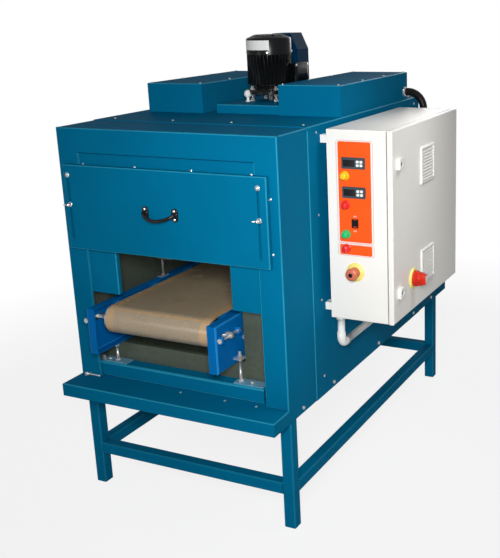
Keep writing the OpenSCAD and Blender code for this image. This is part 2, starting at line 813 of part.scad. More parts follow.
// Slider bed under the carrying strand: crossbars between the side members, with two lengthwise
// flats and a zigzag of flats laid on them.
module conveyor_bed() at_home() color(royal) {
    z = [roller_z + belt_r - bed_flat_t, roller_z + belt_r];
    half = roller_len / 2 - bed_inset;
    gap = 2 * (half - bed_flat);
    n = rail_bend - rail_plate;
    x0 = rail_l + rail_plate;
    x1 = rail_r - rail_plate;
    for (i = [0 : bed_cells]) translate([0, bed_front + i * cell + bed_bar_w / 2, z[0] - laid - bed_bar_h])
        rotate([90, 0, 0]) linear_extrude(bed_bar_w) polygon([[x0, 0], [x1, 0], [x1, bed_bar_h - n],
            [x1 - n, bed_bar_h], [x0 + n, bed_bar_h], [x0, bed_bar_h - n]]);
    for (s = [-1, 1]) span(about(roller_x + s * (half - bed_flat / 2), bed_flat),
        [bed_front - bed_bar_w / 2, bed_back + bed_bar_w / 2], z);
    intersection() {
        for (i = [0 : bed_cells - 1]) {
            s = i % 2 == 0 ? 1 : -1;
            translate([roller_x - s * gap / 2, bed_front + i * cell, z[0]])
                rotate([0, 0, atan2(cell, s * gap)])
                translate([zigzag_w, -zigzag_w / 2, 0]) cube([norm([cell, gap]) - 2 * zigzag_w, zigzag_w, bed_flat_t]);
        }
        span(about(roller_x, gap - 2 * air), [conv_front, conv_back], [z[0] - 1, z[1] + 1]);
    }
}

// Endless belt round the two end rollers.
module belt_outline(r) {
    for (y = [roller_y, roller_back]) translate([y, roller_z]) circle(r = r);
    translate([roller_y, roller_z - r]) square([roller_back - roller_y, 2 * r]);
}

module belt() at_home() color([0.5, 0.36, 0.22])
    translate([roller_x - belt_w / 2, 0, 0]) rotate([90, 0, 90]) linear_extrude(belt_w) difference() {
        belt_outline(belt_r + belt_t);
        belt_outline(belt_r);
    }

// Front roller: a tube with end plates that turns on its fixed axle.
module roller_front() at_home() color(steel) difference() {
    bar_x([roller_x - roller_len / 2, roller_y, roller_z], roller_d, roller_len);
    bar_x([roller_x - roller_len / 2 + roller_wall, roller_y, roller_z], roller_d - 2 * roller_wall,
        roller_len - 2 * roller_wall);
    bar_x([rail_l, roller_y, roller_z], shaft_d + 2 * run_fit, rail_w);
}

// Drive roller on its live shaft.
module roller_drive() at_home() color(steel) {
    bar_x([roller_x - roller_len / 2, roller_back, roller_z], roller_d, roller_len);
    bar_x([rail_l - bearing_t - 2, roller_back, roller_z], shaft_d, rail_w + 2 * bearing_t + 2 + shaft_over);
}

// Fixed axle across the conveyor, with a screw, a head and a lock nut at each end.
module adjusted_axle(y, z, d) {
    bar_x([rail_l + rail_plate + air, y, z], d, rail_w - 2 * (rail_plate + air));
    bar_x([rail_l - axle_out, y, z], min(d, shaft_d), rail_w + 2 * axle_out);
    for (x = [rail_l - ear_x, rail_r + ear_x]) {
        front = y + ear_offsets[0];
        back = y + ear_offsets[1];
        bar_y([x, front, z], screw_d, back + ear_t + 12 - front);
        nut_y([x, front - 7, z], screw_d * 1.7, 7);
        nut_y([x, back + ear_t, z], screw_d * 1.7, 7);
    }
}

module take_up_screws() at_home() color(steel) {
    adjusted_axle(roller_y, roller_z, shaft_d);
    adjusted_axle(tension_y, tension_z, tension_d);
}

// Folded channel across the opening that carries the conveyor's end, with a foot plate for each rod.
module cross_member() {
    translate([member_l, member_y, deck_z]) rotate([90, 0, 90]) linear_extrude(member_r - member_l)
        translate([member_d, 0]) rotate(90) channel_2d(member_h, member_d, member_t + 3, member_t);
    for (x = [[member_l + 6, member_l + 106], [member_r - 112, member_r - 6]])
        span(x, [member_y + member_t + 3, member_y + member_d - 2], [member_top, member_top + foot_t]);
}

module cross_members() at_home() color(teal) {
    cross_member();
    to_exit() cross_member();
}

// Nut bored for a rod, with its axis along Z.
module rod_nut(p, d) difference() {
    nut_z(p, 1.7 * d, 0.8 * d);
    bar_z([p[0], p[1], p[2] - 1], d, d + 2);
}

// Threaded rods that set the conveyor's height, and hangers from the upper air box.
module jack_set() {
    foot = member_top + foot_t;
    nut = 0.8 * jack_d;
    bar_z([jack_left_x, jack_y, foot], jack_d, rail_z0 - foot);
    bar_z([jack_right_x, jack_y, foot], jack_d, lug_z + 26 - foot);
    difference() {
        span([rail_r, jack_right_x + 13], [jack_y - 14, jack_y + 14], [lug_z, lug_z + 6]);
        bar_z([jack_right_x, jack_y, lug_z - 1], jack_d, 8);
    }
    for (p = [[jack_left_x, foot], [jack_left_x, rail_z0 - nut], [jack_right_x, foot],
              [jack_right_x, lug_z - nut], [jack_right_x, lug_z + 6]]) rod_nut([p[0], jack_y, p[1]], jack_d);
    for (x = [rail_l + hanger_in, rail_r - hanger_in]) {
        bar_z([x, hanger_y, rail_top], hanger_d, nozzle_z - rail_top);
        span(about(x, 2.4 * hanger_d), about(hanger_y, 5 * hanger_d), [rail_top, rail_top + 3]);
        rod_nut([x, hanger_y, rail_top + 3], hanger_d);
        rod_nut([x, hanger_y, nozzle_z - 0.8 * hanger_d], hanger_d);
    }
}

module jacking_rods() at_home() color(steel) {
    jack_set();
    to_exit() jack_set();
}

// Plate bearing outside a side member, its middle on the drive shaft.
module plate_bearing(x, s) translate([x, roller_back, roller_z]) rotate([0, s * 90, 0]) difference() {
    union() {
        for (a = [0, 90]) rotate(a) linear_extrude(7) translate([-30, -20]) rounded(60, 40, 12);
        cylinder(d = 2 * shaft_d + 6, h = bearing_t);
    }
    translate([0, 0, -1]) cylinder(d = shaft_d + 2 * run_fit, h = bearing_t + 2);
}

// Hollow-shaft gearbox on the drive roller's shaft end, its ribbed motor in line, and both bearings.
module drive_gearmotor() at_home() color([0.2, 0.22, 0.25]) {
    plate_bearing(rail_l, -1);
    plate_bearing(rail_r, 1);
    translate([rail_r + bearing_t, roller_back, roller_z]) rotate([0, 90, 0]) {
        difference() {
            union() {
                translate([-34, -36, 4]) linear_extrude(gearbox_t - 8) rounded(70, 72, 14);
                cylinder(d = 58, h = gearbox_t);
            }
            translate([0, 0, -1]) cylinder(d = shaft_d + 2 * run_fit, h = shaft_over + 2);
        }
        translate([0, 0, gearbox_t]) cylinder(d = 62, h = 6);
        translate([0, 0, gearbox_t + 6]) linear_extrude(30) {
            circle(d = 48);
            for (a = [0 : 20 : 340]) rotate(a) translate([0, -1]) square([29, 2]);
        }
        translate([0, 0, gearbox_t + 36]) rotate_extrude()
            polygon([[0, 0], [29, 0], [29, 6], [26, 10], [0, 10]]);
    }
}

module duct(x) lid([x, x + duct_w], [duct_y, duct_y + duct_len], [cabinet_top, cabinet_top + duct_h]);

module duct_left() at_home() color(teal) duct(duct_left_x);

module duct_right() at_home() color(teal) difference() {
    duct(cabinet_w - duct_right_in - duct_w);
    bar_x([cabinet_w - duct_right_in - sheet - 1, conduit_y, conduit_z], conduit_d - 5, sheet + 2);
}

module motor_tray() at_home() color(teal) difference() {
    lid([tray_l, tray_r], [tray_y, tray_y + tray_len], [cabinet_top, tray_top]);
    bar_z([motor_x, motor_y, tray_top - 2 * sheet], shaft_hole, 3 * sheet);
}

// The four places of the motor's mounting studs.
module at_studs() for (a = [45 : 90 : 315])
    translate([motor_x + mount_r * cos(a), motor_y + mount_r * sin(a), 0]) children();

// Motor housing: flange, turned end shield, ribbed barrel and the terminal box's seat, bored for
// the shaft and the mounting studs.
module motor_body() at_home() color([0.07, 0.07, 0.08]) difference() {
    union() {
        translate([motor_x, motor_y, flange_z]) rotate_extrude() polygon([[0, 0], [flange_d / 2, 0],
            [flange_d / 2, flange_t], [mount_r - 12, flange_t], [core_d / 2 - 6, flange_t + 4],
            [core_d / 2, flange_t + shield_h - 6], [core_d / 2 + 4, flange_t + shield_h - 4],
            [core_d / 2 + 4, flange_t + shield_h], [0, flange_t + shield_h]]);
        translate([motor_x, motor_y, ribs_z]) linear_extrude(ribs_top - ribs_z) {
            circle(d = core_d);
            for (i = [0 : rib_count - 1]) rotate((i + 0.5) * 360 / rib_count)
                translate([0, -rib_t / 2]) square([motor_d / 2, rib_t]);
        }
        span([motor_x + core_d / 2 - 12, box_seat], about(motor_y + 20, 64), [ribs_z + 14, ribs_z + 68]);
    }
    bar_z([motor_x, motor_y, flange_z - 1], seat_d, motor_h);
    at_studs() bar_z([0, 0, flange_z - 1], mount_d + 2 * run_fit, flange_t + 2);
}

// Fan cowl: a turned cap with two rings of slots in its bevelled top.
module motor_cowl() at_home() color([0.05, 0.05, 0.06]) translate([motor_x, motor_y, ribs_top]) difference() {
    r = motor_d / 2;
    rotate_extrude() polygon([[r - 2, 0], [r, 0], [r, cowl_h - 15], [r - 1.5, cowl_h - 12], [r - 27, cowl_h - 1],
        [r - 32, cowl_h], [0, cowl_h], [0, cowl_h - 2], [r - 32, cowl_h - 2], [r - 28, cowl_h - 3],
        [r - 3, cowl_h - 14], [r - 2, cowl_h - 16]]);
    for (a = [0 : 30 : 330]) rotate([0, 0, a]) translate([10, -2.5, cowl_h - 4]) cube([26, 5, 6]);
    for (a = [15 : 30 : 345]) rotate([0, 0, a]) translate([42, -3, cowl_h - 14]) cube([20, 6, 16]);
}

// Terminal box on the motor's side: a rounded box with a screwed lid and a cable entry below.
module terminal_box() at_home() color([0.06, 0.06, 0.07]) translate([box_seat, motor_y + 25, flange_z + 30]) {
    rotate([90, 0, 90]) linear_extrude(30) translate([-45, 0]) rounded(90, 70, 8);
    translate([30, 0, -3]) rotate([90, 0, 90]) linear_extrude(3) translate([-48, 0]) rounded(96, 76, 10);
    translate([33, 0, 0]) rotate([90, 0, 90]) linear_extrude(3) translate([-42, 3]) rounded(84, 64, 8);
    for (y = [-41, 41], z = [4, 66]) bar_x([33, y, z], 7, 2.5);
    nut_z([15, 0, -8], 24, 8);
}

// Four studs that carry the motor's flange above the tray, with nuts on both sides of it.
module motor_studs() at_home() color(steel) at_studs() {
    bar_z([0, 0, tray_top], mount_d, flange_up + flange_t + stud_over);
    for (z = [tray_top, flange_z - 0.8 * mount_d, flange_z + flange_t]) rod_nut([0, 0, z], mount_d);
}

// Shaft with the circulation impeller below and the cooling fan under the cowl.
module fan_rotor() at_home() color(steel) translate([motor_x, motor_y, 0]) {
    bar_z([0, 0, impeller_z], motor_shaft, ribs_top + 34 - impeller_z);
    bar_z([0, 0, impeller_z + impeller_h], impeller_d, 3);
    translate([0, 0, impeller_z]) rotate_extrude() polygon([[0.31 * impeller_d, 12], [0.33 * impeller_d, 4],
        [0.36 * impeller_d, 0], [impeller_d / 2, 0], [impeller_d / 2, 3], [0.37 * impeller_d, 3],
        [0.345 * impeller_d, 6], [0.33 * impeller_d, 12]]);
    for (i = [0 : impeller_blades - 1]) rotate([0, 0, i * 360 / impeller_blades])
        translate([impeller_d * 0.38, 0, impeller_z + 2]) linear_extrude(impeller_h - 1) intersection() {
            translate([0, 52]) difference() {
                circle(r = 53.5);
                circle(r = 50.5);
            }
            translate([-impeller_d * 0.05, -5]) square([impeller_d * 0.16, 40]);
        }
    bar_z([0, 0, impeller_z + impeller_h - 40], 2.5 * motor_shaft, 40);
    bar_z([0, 0, ribs_top + 6], 2.5 * motor_shaft, 26);
    for (a = [0 : 45 : 315]) rotate([0, 0, a]) translate([28, -1.5, ribs_top + 6]) cube([34, 3, 26]);
}

// Outline of the flue: a rectangle whose top corners are cut off.
module flue_2d(inset) {
    h = flue_h - tray_h;
    polygon([[inset, inset ? -1 : 0], [flue_w - inset, inset ? -1 : 0], [flue_w - inset, h - flue_cut[1] - inset / 2],
        [flue_w - flue_cut[0] - inset / 2, h - inset], [flue_cut[0] + inset / 2, h - inset],
        [inset, h - flue_cut[1] - inset / 2]]);
}

// Flue behind the motor, with a flange that is screwed to the raised tray.
module exhaust_flue() at_home() color([0, 0.2, 0.36]) {
    translate([flue_x, flue_y + flue_d, tray_top]) rotate([90, 0, 0]) difference() {
        linear_extrude(flue_d) flue_2d(0);
        translate([0, 0, sheet]) linear_extrude(flue_d - 2 * sheet) flue_2d(sheet);
    }
    for (x = [flue_x - flue_flange, flue_x + flue_w])
        span([x, x + flue_flange], [flue_y, flue_y + flue_d], [tray_top, tray_top + sheet]);
}

// Enclosure: a folded box with a returned rim, stand-off lugs and hinge knuckles.
module enclosure_body() at_home() color(pale) {
    difference() {
        translate([box_x, box_y, box_z]) rotate([90, 0, 90]) linear_extrude(box_d) rounded(box_len, box_h, bend);
        translate([box_x + box_wall, box_y + box_wall, box_z + box_wall]) rotate([90, 0, 90])
            linear_extrude(box_d - 2 * box_wall)
            rounded(box_len - 2 * box_wall, box_h - 2 * box_wall, bend - box_wall);
        span([box_front_x - box_wall - 1, box_front_x + 1], [box_y + box_rim, box_back - box_rim],
            [box_z + box_rim, box_top - box_rim]);
        bar_y([stop_x, box_y - 1, stop_button_z], stop_neck, box_wall + 2);
        rocker_hole();
        bar_y([conduit_x + conduit_r, box_back - box_wall - 1, conduit_z - conduit_r - conduit_drop - conduit_r],
            conduit_d - 5, box_wall + 2);
        bar_z([pipe_x, pipe_y + 8, box_z - 1], pipe_d - 3, box_wall + 2);
    }
    for (y = [box_y + 14, box_back - 14 - lug_w], z = [box_z + 20, box_top - 44])
        span([cabinet_w, box_x], [y, y + lug_w], [z, z + 24]);
    for (z = hinge_zs) {
        span([box_front_x - 30, hinge_x], [box_back, box_back + 3], [z, z + knuckle]);
        bar_z([hinge_x, hinge_y, z], 12, knuckle);
        bar_z([hinge_x, hinge_y, z + knuckle], hinge_pin, knuckle);
    }
}

// Stepped outline of a rail-mounted device, depth by height.
module device_2d(d, h) polygon([[0, 0], [0.55 * d, 0], [0.55 * d, 0.14 * h], [0.9 * d, 0.2 * h], [d, 0.3 * h],
    [d, 0.7 * h], [0.9 * d, 0.8 * h], [0.55 * d, 0.86 * h], [0.55 * d, h], [0, h]]);

// Row of as many equal devices as one rail of the mounting plate holds, clipped side by side.
module device_row(w, gap, d, h, z) for (y = [row_y : w + gap : row_end - w])
    translate([box_x + box_wall + plate_off + sheet + rail_up, y + w, box_z + z]) rotate([90, 0, 0]) linear_extrude(w) device_2d(d, h);

// Mounting plate inside the enclosure with its rails, contactors, relays and terminal row.
module mounting_plate() at_home() color(galv) {
    x = box_x + box_wall + plate_off;
    span([x, x + sheet], [box_y + plate_in, box_back - plate_in], [box_z + plate_in, box_top - plate_in]);
    for (y = [box_y + plate_in + 10, box_back - plate_in - 26], z = [box_z + plate_in + 10, box_top - plate_in - 26])
        span([box_x + box_wall, x], [y, y + 16], [z, z + 16]);
    for (z = [terminal_z, relay_z, contactor_z]) translate([x + sheet, box_back - plate_in - 30, box_z + z])
        rotate([90, 0, 0]) linear_extrude(box_len - 2 * plate_in - 60) translate([0, -rail_35 / 2])
            polygon([[0, 5], [rail_up - 1, 5], [rail_up - 1, 0], [rail_up, 0], [rail_up, 6], [1, 6],
                [1, rail_35 - 6], [rail_up, rail_35 - 6], [rail_up, rail_35], [rail_up - 1, rail_35],
                [rail_up - 1, rail_35 - 5], [0, rail_35 - 5]]);
    device_row(20, 4, 40, 56, terminal_z - 28);
    device_row(52, 20, 46, 86, relay_z - 43);
    device_row(60, 30, 62, 76, contactor_z - 38);
}

// Cut-out for the rocker switch's collar.
module rocker_hole() span([rocker_x - collar_w / 2, rocker_x + collar_w / 2], [box_y - panel_t - 1, box_y + box_wall + 1],
    [rocker_z - collar_h / 2, rocker_z + collar_h / 2]);

// Printed fascia: a tall panel and a strip below it, with cut-outs for the devices.
module fascia() at_home() color([1, 0.35, 0.1]) difference() {
    union() {
        span([panel_x, panel_x + panel_w], [box_y - panel_t, box_y], [panel_z, panel_z + panel_h]);
        span([panel_x, panel_x + panel_w], [box_y - panel_t, box_y], [strip_z, strip_z + strip_h]);
    }
    for (z = lamp_zs) bar_y([lamp_x, box_y - panel_t - 1, z], lamp_d - 6, panel_t + 2);
    rocker_hole();
}

// Two panel controllers (bezel, display window, four keys) and the rocker switch's frame.
module panel_devices() at_home() color([0.2, 0.22, 0.24]) {
    for (z = meter_zs) controller(z);
    difference() {
        union() {
            span([rocker_x - 11, rocker_x + 11], [box_y - panel_t - 2, box_y - panel_t], [rocker_z - 14, rocker_z + 14]);
            span([rocker_x - collar_w / 2, rocker_x + collar_w / 2], [box_y - panel_t, box_y + 12],
                [rocker_z - collar_h / 2, rocker_z + collar_h / 2]);
        }
        span([rocker_x - rocker_w / 2 - air, rocker_x + rocker_w / 2 + air], [box_y - panel_t - 3, box_y + 13],
            [rocker_z - collar_h / 2 + 2, rocker_z + collar_h / 2 - 2]);
        bar_x([rocker_x - collar_w / 2 - 1, rocker_y, rocker_z], rocker_pin + 2 * run_fit, collar_w + 2);
    }
}

// One panel controller with its lower edge at a height: a stepped bezel, a display window and keys.
module controller(z) {
    y = box_y - panel_t;
    difference() {
        union() {
            translate([meter_x, y, z]) rotate([90, 0, 0]) linear_extrude(3) rounded(meter_w, meter_h, 3);
            translate([meter_x + 2, y - 3, z + 2]) rotate([90, 0, 0]) linear_extrude(3)
                rounded(meter_w - 4, meter_h - 4, 2.5);
        }
        span([meter_x + 6, meter_x + 0.58 * meter_w], [y - 7, y - 5], [z + 7, z + meter_h - 7]);
    }
    for (i = [0, 1], j = [0, 1]) translate([meter_x + (0.65 + 0.155 * i) * meter_w, y - 6, z + (0.23 + 0.31 * j) * meter_h])
        rotate([90, 0, 0]) linear_extrude(1.5) rounded(9, 8, 2.5);
}

// Pilot lamps: neck through the fascia, bevelled ring and a stepped lens.
module pilot_lamps() at_home() for (i = [0 : 3]) color(lamp_colours[i])
    translate([lamp_x, box_y, lamp_zs[i]]) rotate([90, 0, 0]) rotate_extrude() {
        r = lamp_d / 2;
        polygon([[0, 0], [r - 3, 0], [r - 3, panel_t], [r, panel_t], [r, panel_t + 2], [r - 1.2, panel_t + 4],
            [r - 2.8, panel_t + 4], [r - 2.8, panel_t + 12], [r - 3.6, panel_t + 16], [r - 5.6, panel_t + 19],
            [r - 8.5, panel_t + 20.2], [0, panel_t + 20.5]]);
    }

// Emergency stop: yellow disc, bezel ring and neck on the enclosure's wall, bored for the button.
module stop_base() at_home() color("gold") translate([stop_x, box_y, stop_button_z]) rotate([90, 0, 0])
    difference() {
        rotate_extrude() polygon([[0, -box_wall - 12], [stop_neck / 2, -box_wall - 12], [stop_neck / 2, 0],
            [stop_disc / 2, 0], [stop_disc / 2, 2], [stop_disc / 2 - 1, 3], [17, 3], [15, 5], [14, 17], [0, 17]]);
        translate([0, 0, -20]) cylinder(d = stop_stem + 2 * run_fit, h = 60);
    }

module stop_button() at_home() color("red") translate([stop_x, box_y, stop_button_z]) rotate([90, 0, 0]) {
    translate([0, 0, -8]) cylinder(d = stop_stem, h = 31);
    translate([0, 0, 17 + stop_travel + 1]) rotate_extrude()
        polygon([[0, 0], [stop_d / 2 - 6, 0], [stop_d / 2 - 1, 3], [stop_d / 2, 7], [stop_d / 2 - 1, 11],
            [stop_d / 2 - 6, 14], [0, 16]]);
}

// Rocker switch on its pivot pins: it rests tipped to one side.
module rocker_switch() at_home() color([0.08, 0.08, 0.09]) translate([rocker_x, rocker_y, rocker_z])
    rotate([-rocker_tilt, 0, 0]) rotate([0, 90, 0]) {
        translate([0, 0, -rocker_w / 2]) linear_extrude(rocker_w)
            polygon([[-rocker_h / 2, -5], [-rocker_h / 2, -8], [0, -6], [rocker_h / 2, -8], [rocker_h / 2, -5],
                [4, 5], [-4, 5]]);
        translate([0, 0, -collar_w / 2]) cylinder(d = rocker_pin, h = collar_w);
    }

// Black conduit from the right duct box to the enclosure's back, with a gland at each end.
module conduit() at_home() color([0.08, 0.08, 0.08]) {
    x0 = cabinet_w - duct_right_in;
    xe = conduit_x + conduit_r;
    z1 = conduit_z - conduit_r;
    z2 = z1 - conduit_drop;
    bar_x([x0, conduit_y, conduit_z], conduit_d, conduit_x - x0);
    nut_x([x0, conduit_y, conduit_z], conduit_d + 9, 8);
    translate([conduit_x, conduit_y, z1]) rotate([90, 0, 0]) rotate_extrude(angle = 90)
        translate([conduit_r, 0]) circle(d = conduit_d);
    bar_z([xe, conduit_y, z2], conduit_d, conduit_drop);
    translate([xe, conduit_y - conduit_r, z2]) rotate([0, 90, 0]) rotate_extrude(angle = 90)
        translate([conduit_r, 0]) circle(d = conduit_d);
    bar_y([xe, box_back, z2 - conduit_r], conduit_d, conduit_y - conduit_r - box_back);
    nut_y([xe, box_back, z2 - conduit_r], conduit_d + 9, 8);
}

// White pipe from the enclosure's underside, along the cabinet's side and into it, with sleeves at
// its bends.
module trunking() at_home() color([0.94, 0.94, 0.92]) {
    r = pipe_bend;
    y0 = pipe_y + 8;
    yb = y0 + r + pipe_run;
    sleeve = pipe_d + 5;
    bar_z([pipe_x, y0, pipe_low + r], pipe_d, box_z - pipe_low - r);
    bar_z([pipe_x, y0, pipe_low + r], sleeve, 16);
    nut_z([pipe_x, y0, box_z - 9], pipe_d + 10, 9);
    translate([pipe_x, y0 + r, pipe_low + r]) rotate([0, 90, 0]) rotate([0, 0, -90])
        rotate_extrude(angle = 90) translate([r, 0]) circle(d = sleeve);
    bar_y([pipe_x, y0 + r, pipe_low], pipe_d, pipe_run);
    bar_y([pipe_x, y0 + r, pipe_low], sleeve, 16);
    bar_y([pipe_x, yb - 16, pipe_low], sleeve, 16);
    translate([pipe_x - r, yb, pipe_low]) rotate_extrude(angle = 90) translate([r, 0]) circle(d = sleeve);
    bar_x([cabinet_w, yb + r, pipe_low], pipe_d, pipe_x - r - cabinet_w);
}

// Door: a folded pan with hinge knuckles, holes for the locks and the isolator, and louvre cut-outs.
module enclosure_door() at_home() color(pale) {
    difference() {
        translate([door_out, box_y, box_z]) rotate([0, 0, 90]) pan(box_len, door_t, box_h, bend, box_wall);
        for (z = lock_zs) bar_x([door_x, lock_y, z], lock_neck, door_t + 1);
        bar_x([door_x, isolator_y, isolator_z], stop_neck, door_t + 1);
        for (z = vent_zs, i = [0 : vent_slats - 1])
            span([door_x, door_out + 1], about(vent_y, vent_w - 24),
                about(z + (i - (vent_slats - 1) / 2) * slat_pitch - 2, 4));
    }
    for (z = hinge_zs) difference() {
        union() {
            bar_z([hinge_x, hinge_y, z + knuckle + air], 12, knuckle);
            span([hinge_x, door_out - bend], [box_back, box_back + 3], [z + knuckle + air, z + 2 * knuckle + air]);
        }
        bar_z([hinge_x, hinge_y, z + knuckle - 4], hinge_pin + 2 * run_fit, knuckle + 6);
    }
}

// Louvred vent: a bevelled frame with sloping slats.
module vent(z) translate([door_out, vent_y, z]) {
    w = vent_w / 2;
    difference() {
        intersection() {
            rotate([90, 0, 90]) linear_extrude(6) translate([-w, -w]) rounded(vent_w, vent_w, 3);
            translate([0, w, 0]) rotate([90, 0, 0]) linear_extrude(vent_w)
                polygon([[0, -w], [3, -w], [6, 3 - w], [6, w - 3], [3, w], [0, w]]);
        }
        span([-1, 7], [8 - w, w - 8], [8 - w, w - 8]);
    }
    for (i = [0 : vent_slats - 1]) translate([0, w - 8, (i - (vent_slats - 1) / 2) * slat_pitch])
        rotate([90, 0, 0]) linear_extrude(vent_w - 16) polygon([[0, 0.2], [4.8, -4.6], [4.8, -3], [0, 2]]);
}

// Fittings on the door: vents, lock housings and the isolator's base disc.
module door_fittings() at_home() color("white") {
    for (z = vent_zs) vent(z);
    for (z = lock_zs) difference() {
        translate([door_out, lock_y, z]) rotate([90, 0, 90]) linear_extrude(12)
            translate([-15, -17]) rounded(30, 34, 3);
        bar_x([door_out - 1, lock_y, z], lock_barrel + 2 * run_fit, 14);
    }
    translate([door_out, isolator_y, isolator_z]) rotate([0, 90, 0]) difference() {
        rotate_extrude() polygon([[0, -box_wall], [stop_neck / 2, -box_wall], [stop_neck / 2, 0],
            [isolator_d / 2, 0], [isolator_d / 2, 4], [isolator_d / 2 - 2, 6], [0, 6]]);
        translate([0, 0, -5]) cylinder(d = 12 + 2 * run_fit, h = 20);
    }
}

// Isolator knob: shaft, flared bell and a tapered grip bar across it.
module isolator_knob() at_home() color("red") translate([door_out + 6 + air, isolator_y, isolator_z]) rotate([0, 90, 0]) {
    r = isolator_d / 2 - 7;
    translate([0, 0, -16]) cylinder(d = 12, h = 17);
    rotate_extrude() polygon([[0, 0], [r, 0], [r, 4], [r - 1, 6], [r - 4, 8.5], [r - 9, 12], [r - 12, 17],
        [r - 13, 24], [0, 24]]);
    intersection() {
        rotate([90, 0, 0]) translate([0, 0, -7]) linear_extrude(14)
            polygon([[-r, 7], [r, 7], [r - 3, 12], [17, 36], [15, isolator_h - 1], [13, isolator_h],
                [-13, isolator_h], [-15, isolator_h - 1], [-17, 36], [3 - r, 12]]);
        translate([0, 0, 6]) cylinder(r = r, h = isolator_h);
    }
}

// Quarter-turn lock: barrel in its housing, with a cam that turns behind the enclosure's rim.
module door_lock(z) translate([0, lock_y, z]) rotate([0, 90, 0]) difference() {
    cam = box_front_x - box_wall - 1.5;
    union() {
        translate([0, 0, cam - 2]) cylinder(d = lock_barrel, h = door_out + 10 - cam + 2);
        translate([-8, -8, cam - 4]) cube([52, 16, 4]);
    }
    translate([-1.5, -5, door_out + 6]) cube([3, 10, 6]);
}

module door_lock_upper() at_home() color("dimgray") door_lock(lock_zs[1]);
module door_lock_lower() at_home() color("dimgray") door_lock(lock_zs[0]);

legs();
stretchers();
top_rails();
floor_pan();
shelves();
front_hood();
front_panel();
body_side_left();
body_side_right();
body_top();
exit_hood();
exit_panel();
recessed_covers();
baffle_plates();
gate_studs();
tunnel_liner();
air_boxes();
heater_rods();
insulation();
conveyor_side_left();
conveyor_side_right();
conveyor_bed();
belt();
take_up_screws();
cross_members();
jacking_rods();
drive_gearmotor();
duct_left();
duct_right();
motor_tray();
motor_body();
motor_cowl();
terminal_box();
motor_studs();
exhaust_flue();
enclosure_body();
mounting_plate();
fascia();
panel_devices();
pilot_lamps();
stop_base();
conduit();
trunking();
gate_front();
handle_front();
gate_exit();
wing_nut_front_left();
wing_nut_front_right();
wing_nut_exit_left();
wing_nut_exit_right();
roller_front();
roller_drive();
fan_rotor();
enclosure_door();
door_fittings();
isolator_knob();
door_lock_upper();
door_lock_lower();
stop_button();
rocker_switch();
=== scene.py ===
import bpy, bmesh, json, math
from mathutils import Matrix, Vector


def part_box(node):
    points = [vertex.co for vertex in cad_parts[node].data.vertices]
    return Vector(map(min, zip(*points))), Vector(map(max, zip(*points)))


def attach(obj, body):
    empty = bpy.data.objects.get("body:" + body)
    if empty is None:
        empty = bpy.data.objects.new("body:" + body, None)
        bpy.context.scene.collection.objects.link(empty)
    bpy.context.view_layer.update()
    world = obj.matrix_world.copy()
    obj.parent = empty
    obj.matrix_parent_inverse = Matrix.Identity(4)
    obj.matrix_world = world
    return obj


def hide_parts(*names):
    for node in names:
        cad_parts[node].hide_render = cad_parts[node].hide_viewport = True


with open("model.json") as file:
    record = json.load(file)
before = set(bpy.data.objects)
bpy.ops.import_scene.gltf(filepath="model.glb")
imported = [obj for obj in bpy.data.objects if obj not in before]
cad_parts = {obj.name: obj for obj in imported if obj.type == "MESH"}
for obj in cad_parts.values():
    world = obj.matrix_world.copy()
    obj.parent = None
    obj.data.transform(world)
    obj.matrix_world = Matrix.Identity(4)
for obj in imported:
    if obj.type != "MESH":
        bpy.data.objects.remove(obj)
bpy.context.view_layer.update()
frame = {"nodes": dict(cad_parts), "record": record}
nodes = frame["nodes"]
bodyOf = {n: b for b, ns in frame["record"]["behaviour"]["bodies"].items() for n in ns}
cabinet = bodyOf["front_panel"]

# the cabinet's left and front faces in metres, its length and width in millimetres
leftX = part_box("body_top")[0].x
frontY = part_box("front_panel")[0].y
cabinetLength = (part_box("exit_panel")[1].y - frontY) * 1000
cabinetWidth = (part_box("body_top")[1].x - leftX) * 1000

# both ends of the cabinet: name, face, direction into the cabinet
ends = (("Front", 0, 1), ("Exit", cabinetLength, -1))


def at(x, y, z):
    # millimetres from the cabinet's left face, front face and the floor
    return Vector((leftX + x / 1000, frontY + y / 1000, z / 1000))


def mm(point):
    # the same measure of a point given in metres
    return Vector(((point[0] - leftX) * 1000, (point[1] - frontY) * 1000, point[2] * 1000))


# ---- camera ----
camera = {"yaw": 25.326, "pitch": -15.258, "roll": -1.478, "lens": 57.428, "sensor": 36,
          "shiftX": -0.17564, "shiftY": -0.05324, "place": (2025.677, -2147.374, 1585.996), "clip": (0.05, 60)}


def makeCamera(spec):
    yaw, pitch, roll = (math.radians(spec[k]) for k in ("yaw", "pitch", "roll"))
    ahead = Vector((-math.sin(yaw) * math.cos(pitch), math.cos(yaw) * math.cos(pitch), math.sin(pitch)))
    side = Vector((math.cos(yaw), math.sin(yaw), 0))
    up = side.cross(ahead)
    right = side * math.cos(roll) + up * math.sin(roll)
    top = up * math.cos(roll) - side * math.sin(roll)
    data = bpy.data.cameras.new("camera")
    data.lens, data.sensor_width, data.sensor_fit = spec["lens"], spec["sensor"], "AUTO"
    data.shift_x, data.shift_y = spec["shiftX"], spec["shiftY"]
    data.clip_start, data.clip_end = spec["clip"]
    obj = bpy.data.objects.new("camera", data)
    turn = Matrix((right, top, -ahead)).transposed().to_4x4()
    obj.matrix_world = Matrix.Translation(at(*spec["place"])) @ turn
    bpy.context.scene.collection.objects.link(obj)
    bpy.context.scene.camera = obj


makeCamera(camera)
print("camera placed")

# ---- finishes ----
# scales of the noises in the finishes
scales = {"drift": 3.5, "dust": 55, "chips": 130, "stain": 7, "marks": 40, "slow": 14, "facet": 480,
          "fibre": 160}


def tree(name):
    material = bpy.data.materials.new(name)
    material.use_nodes = True
    nt = material.node_tree
    shader = nt.nodes["Principled BSDF"]
    coords = nt.nodes.new("ShaderNodeTexCoord")
    return material, nt, shader, coords


